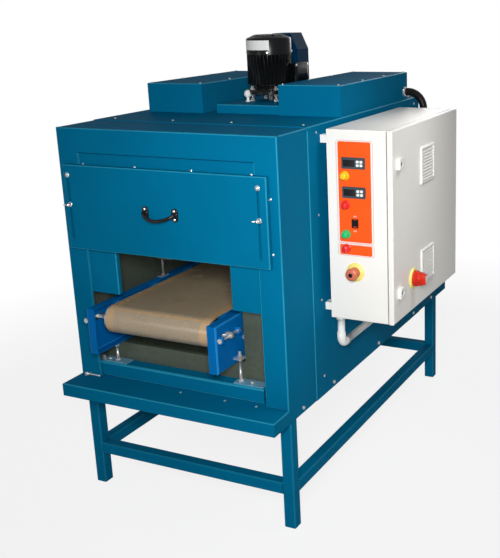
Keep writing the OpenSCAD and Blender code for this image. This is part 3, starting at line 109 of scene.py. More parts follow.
def feed(nt, socket, value):
    # a socket gets another node's output or a value of its own
    if isinstance(value, bpy.types.NodeSocket):
        nt.links.new(value, socket)
    else:
        socket.default_value = (*value, 1) if socket.type == "RGBA" else value


def noise(nt, vector, scale, detail=3.0, rough=0.5):
    n = nt.nodes.new("ShaderNodeTexNoise")
    n.inputs["Scale"].default_value = scale
    n.inputs["Detail"].default_value = detail
    n.inputs["Roughness"].default_value = rough
    nt.links.new(vector, n.inputs["Vector"])
    return n.outputs["Fac"]


def cells(nt, vector, scale):
    n = nt.nodes.new("ShaderNodeTexVoronoi")
    n.inputs["Scale"].default_value = scale
    nt.links.new(vector, n.inputs["Vector"])
    return n.outputs["Distance"]


def ramp(nt, value, low, high, toLow=0.0, toHigh=1.0):
    n = nt.nodes.new("ShaderNodeMapRange")
    for key, v in (("From Min", low), ("From Max", high), ("To Min", toLow), ("To Max", toHigh)):
        n.inputs[key].default_value = v
    nt.links.new(value, n.inputs["Value"])
    return n.outputs["Result"]


def sums(nt, operation, *values):
    n = nt.nodes.new("ShaderNodeMath")
    n.operation = operation
    for socket, v in zip(n.inputs, values):
        feed(nt, socket, v)
    return n.outputs[0]


def mix(nt, factor, a, b):
    n = nt.nodes.new("ShaderNodeMix")
    n.data_type = "RGBA"
    for k, v in ((0, factor), (6, a), (7, b)):
        feed(nt, n.inputs[k], v)
    return n.outputs[2]


def scaled(colour, by, add=0.0):
    return tuple(min(1, c * by + add) for c in colour)


def bump(nt, shader, height, strength, distance):
    n = nt.nodes.new("ShaderNodeBump")
    n.inputs["Strength"].default_value = strength
    n.inputs["Distance"].default_value = distance
    nt.links.new(height, n.inputs["Height"])
    nt.links.new(n.outputs["Normal"], shader.inputs["Normal"])


def paint(name, colour, rough=0.34, peel=0.12, drift=0.07, specular=0.3, peelScale=420, chips=None,
          chipShare=0.6):
    # sprayed paint: slow drift of tone, smudged gloss, orange peel, and chips where an edge wears
    material, nt, shader, coords = tree(name)
    spot = coords.outputs["Object"]
    slow = noise(nt, spot, scales["drift"], 4)
    tone = mix(nt, ramp(nt, slow, 0.3, 0.7), scaled(colour, 1 - drift), scaled(colour, 1 + drift))
    dust = noise(nt, spot, scales["dust"], 6, 0.65)
    tone = mix(nt, ramp(nt, dust, 0.62, 0.8, 0, 0.1), tone, scaled(colour, 1.4, 0.02))
    if chips:
        bare = ramp(nt, noise(nt, spot, scales["chips"], 5, 0.7), chipShare, chipShare + 0.06)
        tone = mix(nt, bare, tone, chips)
    nt.links.new(tone, shader.inputs["Base Color"])
    nt.links.new(ramp(nt, slow, 0.25, 0.75, rough - 0.05, rough + 0.07), shader.inputs["Roughness"])
    shader.inputs["Specular IOR Level"].default_value = specular
    bump(nt, shader, noise(nt, spot, peelScale, 2), peel, 0.0004)
    return material


def sheetMetal(name, colour, rough=0.38, spangle=60, grime=0.35, metal=0.85):
    # galvanised sheet: angular spangle, dull film and stains
    material, nt, shader, coords = tree(name)
    spot = coords.outputs["Object"]
    flake = cells(nt, spot, spangle)
    stain = noise(nt, spot, scales["stain"], 6, 0.62)
    flakes = mix(nt, ramp(nt, flake, 0.1, 0.6), scaled(colour, 0.84), colour)
    dulled = mix(nt, ramp(nt, stain, 0.35, 0.7, 0, grime), flakes, scaled(colour, 0.55))
    nt.links.new(dulled, shader.inputs["Base Color"])
    nt.links.new(ramp(nt, stain, 0.3, 0.7, rough, rough + 0.22), shader.inputs["Roughness"])
    shader.inputs["Metallic"].default_value = metal
    bump(nt, shader, flake, 0.06, 0.0004)
    return material


def turnedMetal(name, colour, rough=0.22, lines=900, metal=1.0):
    # turned or plated steel: fine tool lines and fingermarks
    material, nt, shader, coords = tree(name)
    spot = coords.outputs["Object"]
    stretch = nt.nodes.new("ShaderNodeMapping")
    stretch.inputs["Scale"].default_value = (1.0, 0.15, 1.0)
    nt.links.new(spot, stretch.inputs["Vector"])
    marks = noise(nt, spot, scales["marks"], 5, 0.6)
    handled = mix(nt, ramp(nt, marks, 0.35, 0.7), scaled(colour, 0.8), colour)
    nt.links.new(handled, shader.inputs["Base Color"])
    nt.links.new(ramp(nt, marks, 0.3, 0.7, rough, rough + 0.14), shader.inputs["Roughness"])
    shader.inputs["Metallic"].default_value = metal
    bump(nt, shader, noise(nt, stretch.outputs["Vector"], lines, 2), 0.05, 0.0002)
    return material


def moulded(name, colour, rough=0.42, grain=650, depth=0.1, drift=0.06, specular=0.5):
    # moulded plastic, rubber or printed film: fine spark grain
    material, nt, shader, coords = tree(name)
    spot = coords.outputs["Object"]
    slow = noise(nt, spot, scales["slow"], 4)
    tone = mix(nt, ramp(nt, slow, 0.3, 0.7), scaled(colour, 1 - drift), scaled(colour, 1 + drift))
    nt.links.new(tone, shader.inputs["Base Color"])
    nt.links.new(ramp(nt, slow, 0.3, 0.7, rough - 0.04, rough + 0.08), shader.inputs["Roughness"])
    shader.inputs["Specular IOR Level"].default_value = specular
    bump(nt, shader, noise(nt, spot, grain, 3), depth, 0.0003)
    return material


def lens(name, colour):
    # tinted lamp lens, faceted inside, unlit
    material, nt, shader, coords = tree(name)
    facet = cells(nt, coords.outputs["Object"], scales["facet"])
    tint = mix(nt, ramp(nt, facet, 0, 0.7), scaled(colour, 1.25, 0.03), colour)
    nt.links.new(tint, shader.inputs["Base Color"])
    nt.links.new(ramp(nt, facet, 0, 0.8, 0.12, 0.24), shader.inputs["Roughness"])
    shader.inputs["Coat Weight"].default_value = 0.4
    bump(nt, shader, facet, 0.08, 0.0003)
    return material


def wool(name, colour):
    # mineral wool: matt, with loose fibres
    material, nt, shader, coords = tree(name)
    fibre = noise(nt, coords.outputs["Object"], scales["fibre"], 8, 0.7)
    tone = mix(nt, ramp(nt, fibre, 0.35, 0.7), scaled(colour, 0.6), colour)
    nt.links.new(tone, shader.inputs["Base Color"])
    shader.inputs["Roughness"].default_value = 0.95
    bump(nt, shader, fibre, 0.5, 0.002)
    return material


# the numbers stand in the order of each maker's own arguments
finish = {
    "teal": paint("tealPaint", (0.0, 0.15, 0.295), 0.6, 0.1, 0.06, 0.02),
    # lighter paint for the bend faces: painted highlight along the rounded bends, with real paint chips
    "tealEdge": paint("tealEdge", (0.015, 0.25, 0.4), 0.35, 0.1, 0.1, 0.1, chips=(0.4, 0.58, 0.58),
                      chipShare=0.68),
    # a softer painted highlight for the base frame's bends, with paint chips
    "tealSoftSheenAndChips": paint("tealSoftSheenAndChips", (0.006, 0.185, 0.325), 0.45, 0.1, 0.1, 0.05, chips=(0.2, 0.36, 0.42),
                      chipShare=0.7),
    "royal": paint("royalPaint", (0.0, 0.14, 0.43), 0.45, 0.1, 0.07, 0.05),
    # the same painted highlight, with paint chips, on the royal blue bends
    "royalEdge": paint("royalEdge", (0.015, 0.22, 0.56), 0.35, 0.1, 0.1, 0.1, chips=(0.42, 0.56, 0.66),
                       chipShare=0.68),
    "plateBlue": paint("plateBlue", (0.14, 0.31, 0.44), 0.3, 0.12, 0.12, 0.2),
    "flue": paint("fluePaint", (0.0, 0.035, 0.09), 0.34, 0.1, 0.1, 0.05),
    "grey": paint("enclosurePaint", (0.92, 0.895, 0.84), 0.34, 0.3, 0.015, 0.45, 260),
    "black": paint("motorPaint", (0.006, 0.007, 0.008), 0.22, 0.2, 0.2, 0.2),
    "drive": paint("drivePaint", (0.05, 0.06, 0.075), 0.4, 0.2, 0.1, 0.2),
    "liner": sheetMetal("linerSheet", (0.125, 0.155, 0.115), 0.42, 60, 0.45, 0.45),
    "zinc": sheetMetal("zincSheet", (0.62, 0.63, 0.62), 0.32, 90, 0.2, 0.9),
    "bright": turnedMetal("brightSteel", (0.85, 0.85, 0.84), 0.18, 900, 0.7),
    "roller": turnedMetal("rollerSteel", (0.6, 0.6, 0.6), 0.26),
    "heater": turnedMetal("heaterSheath", (0.2, 0.15, 0.11), 0.45),
    "lock": turnedMetal("lockDieCast", (0.3, 0.3, 0.31), 0.35),
    "wool": wool("mineralWool", (0.62, 0.55, 0.36)),
    "blackPlastic": moulded("blackPlastic", (0.008, 0.008, 0.009), 0.2, 700, 0.06, 0.06, 0.3),
    "hose": moulded("conduitPlastic", (0.01, 0.01, 0.01), 0.3, 500, 0.1, 0.06, 0.2),
    "pale": moulded("ventPlastic", (0.86, 0.85, 0.81), 0.4, 600, 0.05, 0.02),
    "white": moulded("pipePlastic", (0.9, 0.9, 0.88), 0.3, 600, 0.04, 0.02, 0.2),
    "orange": moulded("fasciaFilm", (1.0, 0.105, 0.008), 0.4, 900, 0.04, 0.02, 0.3),
    "filmEdge": moulded("filmEdge", (0.8, 0.44, 0.4), 0.35, 900, 0.03, 0.02, 0.3),
    "meter": moulded("meterBezel", (0.05, 0.07, 0.085), 0.38, 700, 0.06),
    "window": moulded("meterWindow", (0.016, 0.012, 0.01), 0.12, 200, 0.02, 0.2, 0.6),
    "yellow": moulded("yellowPlastic", (0.94, 0.8, 0.2), 0.34, 700, 0.05, 0.03),
    "red": moulded("redPlastic", (0.62, 0.025, 0.01), 0.3, 700, 0.05, 0.05, 0.2),
    "stopRed": moulded("stopRed", (0.62, 0.16, 0.09), 0.3, 700, 0.05, 0.05, 0.3),
    "lampYellow": lens("yellowLens", (0.95, 0.55, 0.0)),
    "lampRed": lens("redLens", (0.75, 0.008, 0.008)),
    "lampGreen": lens("greenLens", (0.0, 0.5, 0.14)),
    "earth": moulded("earthTerminal", (0.25, 0.42, 0.05), 0.4),
    "greyPlastic": moulded("greyPlastic", (0.35, 0.36, 0.36), 0.42),
    "ivory": moulded("ivoryPlastic", (0.72, 0.69, 0.58), 0.42),
}
print("finishes made:", len(finish))

# ---- shared making ----
# degrees between faces from which an edge stays sharp
crease = {"fine": 30, "turned": 32, "cast": 35, "cap": 40, "ribs": 60}


def link(obj, body, materials=(), smooth=None, stands=()):
    # into the scene and onto its body, with its finishes, and in the place of the CAD nodes it stands for
    bpy.context.scene.collection.objects.link(obj)
    if materials:
        obj.data.materials.clear()
        for m in materials:
            obj.data.materials.append(finish[m])
    if smooth is not None:
        obj.data.shade_smooth()
        obj.data.set_sharp_from_angle(angle=math.radians(smooth))
    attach(obj, body)
    if stands:
        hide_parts(*stands)
    return obj


def meshOf(name, points, faces):
    # a new object from points and faces, its faces outward
    mesh = bpy.data.meshes.new(name)
    mesh.from_pydata([tuple(p) for p in points], [], faces)
    bm = bmesh.new()
    bm.from_mesh(mesh)
    bmesh.ops.remove_doubles(bm, verts=bm.verts, dist=1e-6)
    bmesh.ops.recalc_face_normals(bm, faces=bm.faces)
    bm.to_mesh(mesh)
    bm.free()
    return bpy.data.objects.new(name, mesh)


def quads(first, second, count):
    # the ring of faces between two loops of points that begin at these indices
    for k in range(count):
        j = (k + 1) % count
        yield first + k, first + j, second + j, second + k


def tube(name, points, count):
    # a closed body whose points come in loops of count points, one loop after the other
    last = len(points) - count
    faces = [f for i in range(0, last, count) for f in quads(i, i + count, count)]
    return meshOf(name, points, faces + [tuple(range(count)), tuple(range(last, last + count))])


def turned(name, place, axis, profile, sides=32):
    # a shape turned about an axis; profile is a list of (radius, distance along the axis)
    lead = Vector(axis).normalized()
    across = lead.orthogonal().normalized()
    other = lead.cross(across)
    points = []
    for r, h in profile:
        for k in range(sides):
            a = 2 * math.pi * k / sides
            points.append(at(*place) + (lead * h + (across * math.cos(a) + other * math.sin(a)) * r) / 1000)
    return tube(name, points, sides)


def roundedPlate(name, place, width, height, depth, radius, right=(1, 0, 0), up=(0, 0, 1), bevel=0.0):
    # a thin plate with rounded corners; place is its lower left back corner
    right, up = Vector(right), Vector(up)
    out = right.cross(up)
    outline, cornerSteps = [], 6
    for cx, cy, start in ((width - radius, height - radius, 0), (radius, height - radius, 90),
                          (radius, radius, 180), (width - radius, radius, 270)):
        for k in range(cornerSteps + 1):
            a = math.radians(start + 90 / cornerSteps * k)
            outline.append((cx + radius * math.cos(a), cy + radius * math.sin(a)))
    layers = [(0, 0), (depth - bevel, 0), (depth, bevel)] if bevel else [(0, 0), (depth, 0)]
    points = []
    for d, inset in layers:
        for x, y in outline:
            x += inset * (width / 2 - x) / (width / 2)
            y += inset * (height / 2 - y) / (height / 2)
            points.append(at(*place) + (right * x + up * y + out * d) / 1000)
    return tube(name, points, len(outline))


def joined(name, parts):
    # several new meshes in one piece
    bm = bmesh.new()
    for p in parts:
        bm.from_mesh(p.data)
        bpy.data.objects.remove(p)
    mesh = bpy.data.meshes.new(name)
    bm.to_mesh(mesh)
    bm.free()
    return bpy.data.objects.new(name, mesh)


def dressed(node, materials, pick=None, smooth=None):
    # a merged copy of a CAD node that stands for it; pick gives each face one of the materials
    mesh = nodes[node].data.copy()
    mesh.materials.clear()
    for m in materials:
        mesh.materials.append(finish[m])
    bm = bmesh.new()
    bm.from_mesh(mesh)
    bmesh.ops.remove_doubles(bm, verts=bm.verts, dist=2e-6)
    for f in bm.faces:
        f.material_index = pick(mm(f.calc_center_median()), f.normal) if pick else 0
        f.smooth = False
    bm.to_mesh(mesh)
    bm.free()
    return link(bpy.data.objects.new(node + "Skin", mesh), bodyOf[node], (), smooth, (node,))


# ---- which face of a node gets which finish ----
# parts of a normal: nearer an axis than flat is no bend, and more than facing along X looks outward
flat, facing = 0.985, 0.9
# where one finish of a node ends and the next begins, in cabinet millimetres
limit = {"openingX": (80, 720), "openingReach": 3, "footPlateZ": 461.05, "exitHandleY": cabinetLength + 20.03,
         "lampFrontY": 249.99, "rockerBezelZ": 980, "meterKeyY": 242.99, "meterWindowY": (243.2, 244.8),
         "stopCollarY": 246.9, "isolatorTipX": 1078, "isolatorPlate": (415, 738, 34), "glandX": 804.1,
         "glandY": 858.1, "boxLidX": 553.05, "boxLid": (629, 37.4), "boxLidZ": (1331, 1394)}
lampZ = {1093: 1, 1003: 2, 911: 3, 866: 2}
plateRows = {"sheetX": 851.4, "terminalsZ": 840, "relaysZ": 1020, "firstY": 340, "pitch": 24, "earthEvery": 6,
             "darkX": 884}


# a face on a bend takes the second finish, the lighter edge paint: a painted highlight along the bend
def onBend(c, n):
    return 1 if max(abs(n.x), abs(n.y), abs(n.z)) < flat else 0


def onCut(c, n):
    # the folded edges beside an end opening take the lighter edge paint as well: a painted highlight on the
    # jambs, with paint chips
    beside = min(abs(c.x - x) for x in limit["openingX"]) < limit["openingReach"]
    return 1 if abs(n.x) > flat and beside else onBend(c, n)


def lampPick(c, n):
    return lampZ[min(lampZ, key=lambda z: abs(z - c.z))] if c.y < limit["lampFrontY"] else 0


def meterPick(c, n):
    # the rocker's black bezel, white keys, dark windows, grey cases
    if c.z < limit["rockerBezelZ"]:
        return 1
    if c.y < limit["meterKeyY"]:
        return 3
    low, high = limit["meterWindowY"]
    return 2 if low < c.y < high and n.y < -facing else 0


def isolatorPlatePick(c, n):
    y, z, reach = limit["isolatorPlate"]
    return 1 if abs(c.y - y) < reach and abs(c.z - z) < reach else 0


def boxLidPick(c, n):
    y, reach = limit["boxLid"]
    low, high = limit["boxLidZ"]
    return 1 if c.x > limit["boxLidX"] and abs(c.y - y) > reach and not low < c.z < high else 0


def platePick(c, n):
    # terminals with an earth terminal now and then, pale relays, contactors with dark fronts
    row = plateRows
    if c.x < row["sheetX"]:
        return 0
    if c.z < row["terminalsZ"]:
        place = int((c.y - row["firstY"]) / row["pitch"]) % row["earthEvery"]
        return 2 if place == row["earthEvery"] - 1 else 1
    if c.z < row["relaysZ"]:
        return 3
    return 4 if c.x > row["darkX"] else 1


# ---- geometry node trees ----


def growTree(name, inputs):
    nt = bpy.data.node_groups.new(name, "GeometryNodeTree")
    nt.interface.new_socket("Geometry", in_out="INPUT", socket_type="NodeSocketGeometry")
    for label, kind, value in inputs:
        socket = nt.interface.new_socket(label, in_out="INPUT", socket_type="NodeSocket" + kind)
        if value is not None:
            socket.default_value = value
    nt.interface.new_socket("Geometry", in_out="OUTPUT", socket_type="NodeSocketGeometry")
    return nt, nt.nodes.new("NodeGroupInput").outputs, nt.nodes.new("NodeGroupOutput")


def add(nt, kind, settings=None, **links):
    # a node with its settings, and its named inputs linked or set
    n = nt.nodes.new(kind)
    for key, v in (settings or {}).items():
        setattr(n, key, v)
    for key, v in links.items():
        feed(nt, next(s for s in n.inputs if s.name.replace(" ", "") == key and s.enabled), v)
    return n


def finishTree(nt, out, instances, material):
    # instances made real, given their material and handed on
    real = add(nt, "GeometryNodeRealizeInstances", None, Geometry=instances)
    done = add(nt, "GeometryNodeSetMaterial", None, Geometry=real.outputs[0], Material=material)
    nt.links.new(done.outputs[0], out.inputs[0])
    return nt


def screwTree():
    # heads on points that carry the direction they face
    nt, g, out = growTree("screwHeads", [("Radius", "Float", 0.004), ("Height", "Float", 0.002),
                                         ("Sides", "Int", 12), ("Crown", "Float", 0.7),
                                         ("Socket", "Float", 0.45), ("Seed", "Int", 3),
                                         ("Material", "Material", None)])
    faces = {"mode": "FACES"}
    body = add(nt, "GeometryNodeMeshCylinder", {"fill_type": "NGON"}, Vertices=g["Sides"], Radius=g["Radius"],
               Depth=sums(nt, "MULTIPLY", g["Height"], 1.2))
    crown = add(nt, "GeometryNodeExtrudeMesh", faces, Mesh=body.outputs["Mesh"], Selection=body.outputs["Top"],
                OffsetScale=sums(nt, "MULTIPLY", g["Height"], 0.4), Individual=False)
    drawn = add(nt, "GeometryNodeScaleElements", {"domain": "FACE"}, Geometry=crown.outputs["Mesh"],
                Selection=crown.outputs["Top"], Scale=g["Crown"])
    rim = add(nt, "GeometryNodeExtrudeMesh", faces, Mesh=drawn.outputs[0], Selection=crown.outputs["Top"],
              OffsetScale=0.0, Individual=False)
    narrow = add(nt, "GeometryNodeScaleElements", {"domain": "FACE"}, Geometry=rim.outputs["Mesh"],
                 Selection=rim.outputs["Top"], Scale=g["Socket"])
    recess = add(nt, "GeometryNodeExtrudeMesh", faces, Mesh=narrow.outputs[0], Selection=rim.outputs["Top"],
                 OffsetScale=sums(nt, "MULTIPLY", g["Height"], -0.7), Individual=False)
    way = add(nt, "GeometryNodeInputNamedAttribute", {"data_type": "FLOAT_VECTOR"}, Name="facing")
    aim = add(nt, "FunctionNodeAlignRotationToVector", {"axis": "Z"}, Vector=way.outputs[0])
    spin = add(nt, "FunctionNodeRandomValue", {"data_type": "FLOAT"}, Min=0.0, Max=3.14, Seed=g["Seed"])
    turn = add(nt, "FunctionNodeAxisAngleToRotation", None, Axis=(0, 0, 1), Angle=spin.outputs[1])
    both = add(nt, "FunctionNodeRotateRotation", {"rotation_space": "LOCAL"}, Rotation=aim.outputs[0],
               RotateBy=turn.outputs[0])
    heads = add(nt, "GeometryNodeInstanceOnPoints", None, Points=g["Geometry"], Instance=recess.outputs["Mesh"],
                Rotation=both.outputs[0])
    return finishTree(nt, out, heads.outputs[0], g["Material"])


def ringTree():
    # rings at even steps along a path
    nt, g, out = growTree("pathRings", [("Radius", "Float", 0.0135), ("Bead", "Float", 0.0012),
                                        ("Pitch", "Float", 0.004), ("Sides", "Int", 20),
                                        ("Bead Sides", "Int", 5), ("Material", "Material", None)])
    path = add(nt, "GeometryNodeMeshToCurve", None, Mesh=g["Geometry"])
    steps = add(nt, "GeometryNodeCurveToPoints", {"mode": "LENGTH"}, Curve=path.outputs[0], Length=g["Pitch"])
    circle = add(nt, "GeometryNodeCurvePrimitiveCircle", {"mode": "RADIUS"}, Resolution=g["Sides"],
                 Radius=g["Radius"])
    bead = add(nt, "GeometryNodeCurvePrimitiveCircle", {"mode": "RADIUS"}, Resolution=g["Bead Sides"],
               Radius=g["Bead"])
    ring = add(nt, "GeometryNodeCurveToMesh", None, Curve=circle.outputs[0], ProfileCurve=bead.outputs[0])
    rings = add(nt, "GeometryNodeInstanceOnPoints", None, Points=steps.outputs["Points"],
                Instance=ring.outputs[0], Rotation=steps.outputs["Rotation"])
    return finishTree(nt, out, rings.outputs[0], g["Material"])


def bandTree():
    # a flat band swept along a path, with its length and width in a UV map
    nt, g, out = growTree("sweptBand", [("Width", "Float", 0.386), ("Thickness", "Float", 0.0012),
                                        ("Material", "Material", None)])
    pointFloat = {"data_type": "FLOAT", "domain": "POINT"}
    path = add(nt, "GeometryNodeMeshToCurve", None, Mesh=g["Geometry"])
    level = add(nt, "GeometryNodeSetCurveNormal", {"mode": "FREE"}, Curve=path.outputs[0], Normal=(1, 0, 0))
    along = add(nt, "GeometryNodeSplineParameter", None)
    kept = add(nt, "GeometryNodeStoreNamedAttribute", pointFloat, Geometry=level.outputs[0], Name="along",
               Value=along.outputs["Length"])
    section = add(nt, "GeometryNodeCurvePrimitiveQuadrilateral", {"mode": "RECTANGLE"}, Width=g["Width"],
                  Height=g["Thickness"])
    place = add(nt, "GeometryNodeInputPosition", None)
    split = add(nt, "ShaderNodeSeparateXYZ", None, Vector=place.outputs[0])
    crossed = add(nt, "GeometryNodeStoreNamedAttribute", pointFloat, Geometry=section.outputs[0], Name="across",
                  Value=split.outputs[0])
    band = add(nt, "GeometryNodeCurveToMesh", None, Curve=kept.outputs[0], ProfileCurve=crossed.outputs[0],
               FillCaps=True)
    u = add(nt, "GeometryNodeInputNamedAttribute", {"data_type": "FLOAT"}, Name="along")
    v = add(nt, "GeometryNodeInputNamedAttribute", {"data_type": "FLOAT"}, Name="across")
    pair = add(nt, "ShaderNodeCombineXYZ", None, X=u.outputs[0], Y=v.outputs[0])
    mapped = add(nt, "GeometryNodeStoreNamedAttribute", {"data_type": "FLOAT2", "domain": "CORNER"},
                 Geometry=band.outputs[0], Name="UVMap", Value=pair.outputs[0])
    return finishTree(nt, out, mapped.outputs[0], g["Material"])


def grown(name, base, nt, values):
    # what a tree makes of a base object, as a plain mesh
    bpy.context.scene.collection.objects.link(base)
    modifier = base.modifiers.new("grow", "NODES")
    modifier.node_group = nt
    for item in nt.interface.items_tree:
        if item.item_type == "SOCKET" and item.in_out == "INPUT" and item.name in values:
            modifier[item.identifier] = values[item.name]
    base.update_tag()
    mesh = bpy.data.meshes.new_from_object(base.evaluated_get(bpy.context.evaluated_depsgraph_get()))
    mesh.name = name
    base.modifiers.remove(modifier)
    bpy.data.objects.remove(base)
    return bpy.data.objects.new(name, mesh)


def pointsMesh(name, spots):
    mesh = bpy.data.meshes.new(name)
    mesh.from_pydata([tuple(at(*p)) for p, f in spots], [], [])
    ways = mesh.attributes.new("facing", "FLOAT_VECTOR", "POINT")
    ways.data.foreach_set("vector", [float(c) for p, f in spots for c in f])
    return bpy.data.objects.new(name, mesh)


def pathMesh(name, points):
    mesh = bpy.data.meshes.new(name)
    mesh.from_pydata([tuple(p) for p in points], [(i, i + 1) for i in range(len(points) - 1)], [])
    return bpy.data.objects.new(name, mesh)


trees = {"screws": screwTree(), "rings": ringTree(), "band": bandTree()}
print("node trees made")

# ---- CAD nodes that keep their own mesh ----
plain = {
    "liner": ["floor_pan", "air_boxes"],
    "wool": ["insulation"],
    "heater": ["heater_rods"],
}
for key, names in plain.items():
    for n in names:
        nodes[n].data.materials.clear()
        nodes[n].data.materials.append(finish[key])

# ---- painted sheet metal ----
painted = {
    "teal": ["legs", "stretchers", "top_rails", "shelves", "front_hood", "front_panel", "body_side_left",
             "body_side_right", "body_top", "exit_hood", "exit_panel", "recessed_covers", "baffle_plates",
             "duct_left", "duct_right", "motor_tray", "gate_front"],
    "royal": ["conveyor_side_left", "conveyor_side_right", "conveyor_bed"],
}
# the base frame's bends get a softer painted highlight than the panels
softEdged = ("legs", "stretchers", "top_rails")
cutEdged = ("front_panel", "exit_panel")
# every bend face gets the lighter edge paint: painted highlight, with paint chips
for key, names in painted.items():
    for n in names:
        dressed(n, [key, "tealSoftSheenAndChips" if n in softEdged else key + "Edge"], onCut if n in cutEdged else onBend)
# the cross members' and exit gate's bends get the same painted highlight
dressed("cross_members", ["teal", "tealEdge", "plateBlue"],
        lambda c, n: 2 if c.z > limit["footPlateZ"] else onBend(c, n))
dressed("gate_exit", ["teal", "tealEdge", "blackPlastic"],
        lambda c, n: 2 if c.y > limit["exitHandleY"] else onBend(c, n), crease["cast"])
for n, key in (("tunnel_liner", "liner"), ("exhaust_flue", "flue"), ("enclosure_body", "grey"),
               ("enclosure_door", "grey")):
    dressed(n, [key])
print("sheet metal dressed")

# ---- turned and moulded pieces ----
rounds = {
    "bright": ["gate_studs", "take_up_screws", "jacking_rods", "motor_studs", "wing_nut_front_left",
               "wing_nut_front_right", "wing_nut_exit_left", "wing_nut_exit_right"],
    "roller": ["roller_front", "roller_drive", "fan_rotor"],
    "drive": ["drive_gearmotor"],
    "black": ["motor_body", "motor_cowl"],
    "blackPlastic": ["handle_front", "rocker_switch"],
    "white": ["trunking"],
    "stopRed": ["stop_button"],
    "lock": ["door_lock_upper", "door_lock_lower"],
}
for key, names in rounds.items():
    for n in names:
        dressed(n, [key], None, crease["turned"])

dressed("pilot_lamps", ["bright", "lampYellow", "lampRed", "lampGreen"], lampPick, crease["fine"])
dressed("panel_devices", ["meter", "blackPlastic", "window", "white"], meterPick)
dressed("stop_base", ["yellow", "stopRed"],
        lambda c, n: 1 if c.y < limit["stopCollarY"] else 0, crease["fine"])
dressed("isolator_knob", ["red", "pale"],
        lambda c, n: 1 if c.x > limit["isolatorTipX"] and n.x > facing else 0, crease["fine"])
dressed("door_fittings", ["pale", "yellow"], isolatorPlatePick)
dressed("conduit", ["hose", "bright"],
        lambda c, n: 1 if c.x < limit["glandX"] or c.y < limit["glandY"] else 0, crease["fine"])
dressed("terminal_box", ["black", "bright"], boxLidPick, crease["fine"])
dressed("mounting_plate", ["zinc", "greyPlastic", "earth", "ivory", "blackPlastic"], platePick)
print("fittings dressed")

# ---- mesh belt ----
belt = {"x": 361, "width": 386, "front": -3, "radius": 45.9, "thick": 1.2, "z": 630.8, "turnSteps": 28,
        "pitch": 5.2, "yarn": 0.34, "tape": 30, "tapeFade": 0.6, "seam": 797, "seamHalf": 5,
        "cloth": ((0.4, 0.31, 0.2), (0.3, 0.24, 0.16)), "thread": (0.62, 0.5, 0.35),
        "tapes": ((0.48, 0.31, 0.16), (0.64, 0.44, 0.25)), "fibre": 900, "stain": 9}


def beltCloth(name, spec):
    # open woven mesh with solid tapes along both edges and a taped joint across it
    material, nt, shader, coords = tree(name)
    split = nt.nodes.new("ShaderNodeSeparateXYZ")
    nt.links.new(coords.outputs["UV"], split.inputs[0])
    along, across = split.outputs[0], split.outputs[1]

    def thread(value):
        part = sums(nt, "FRACT", sums(nt, "DIVIDE", value, spec["pitch"] / 1000))
        return sums(nt, "ABSOLUTE", sums(nt, "SUBTRACT", part, 0.5))

    near = sums(nt, "MINIMUM", thread(across), thread(along))
    cloth = ramp(nt, near, spec["yarn"] - 0.03, spec["yarn"] + 0.03, 1.0, 0.0)
    inner = spec["width"] / 2 - spec["tape"]
    edge = ramp(nt, sums(nt, "ABSOLUTE", across), inner / 1000, (inner + spec["tapeFade"]) / 1000)
    fromSeam = sums(nt, "ABSOLUTE", sums(nt, "SUBTRACT", along, spec["seam"] / 1000))
    half = spec["seamHalf"]
    strip = ramp(nt, fromSeam, half / 1000, (half + spec["tapeFade"]) / 1000, 1.0, 0.0)
    taped = sums(nt, "MAXIMUM", edge, strip)
    spot = coords.outputs["Object"]
    fibre = noise(nt, spot, spec["fibre"], 3, 0.6)
    stain = noise(nt, spot, spec["stain"], 5, 0.6)
    brown = mix(nt, ramp(nt, stain, 0.35, 0.7), *spec["cloth"])
    brown = mix(nt, ramp(nt, near, 0.05, 0.3), mix(nt, fibre, brown, spec["thread"]), brown)
    tan = mix(nt, ramp(nt, fibre, 0.35, 0.7), *spec["tapes"])
    nt.links.new(mix(nt, taped, brown, tan), shader.inputs["Base Color"])
    nt.links.new(sums(nt, "MAXIMUM", cloth, taped), shader.inputs["Alpha"])
    nt.links.new(ramp(nt, stain, 0.3, 0.7, 0.2, 0.3), shader.inputs["Roughness"])
    shader.inputs["Specular IOR Level"].default_value = 0.8
    relief = sums(nt, "SUBTRACT", sums(nt, "MULTIPLY", fibre, 0.3), near)
    bump(nt, shader, relief, 0.25, 0.0005)
    return material


def makeBelt(spec):
    front, back = spec["front"], cabinetLength - spec["front"]
    x, z, r, steps = (spec[k] for k in ("x", "z", "radius", "turnSteps"))
    points = [at(x, (front + back) / 2, z - r)]
    for y, start in ((front, -90), (back, 90)):
        for k in range(steps + 1):
            a = math.radians(start - 180 * k / steps)
            points.append(at(x, y + r * math.cos(a), z + r * math.sin(a)))
    points.append(points[0].copy())
    finish["belt"] = beltCloth("beltMesh", spec)
    band = grown("beltBand", pathMesh("beltPath", points), trees["band"],
                 {"Width": spec["width"] / 1000, "Thickness": spec["thick"] / 1000, "Material": finish["belt"]})
    link(band, bodyOf["belt"], (), crease["fine"], ("belt",))


makeBelt(belt)
print("belt made")

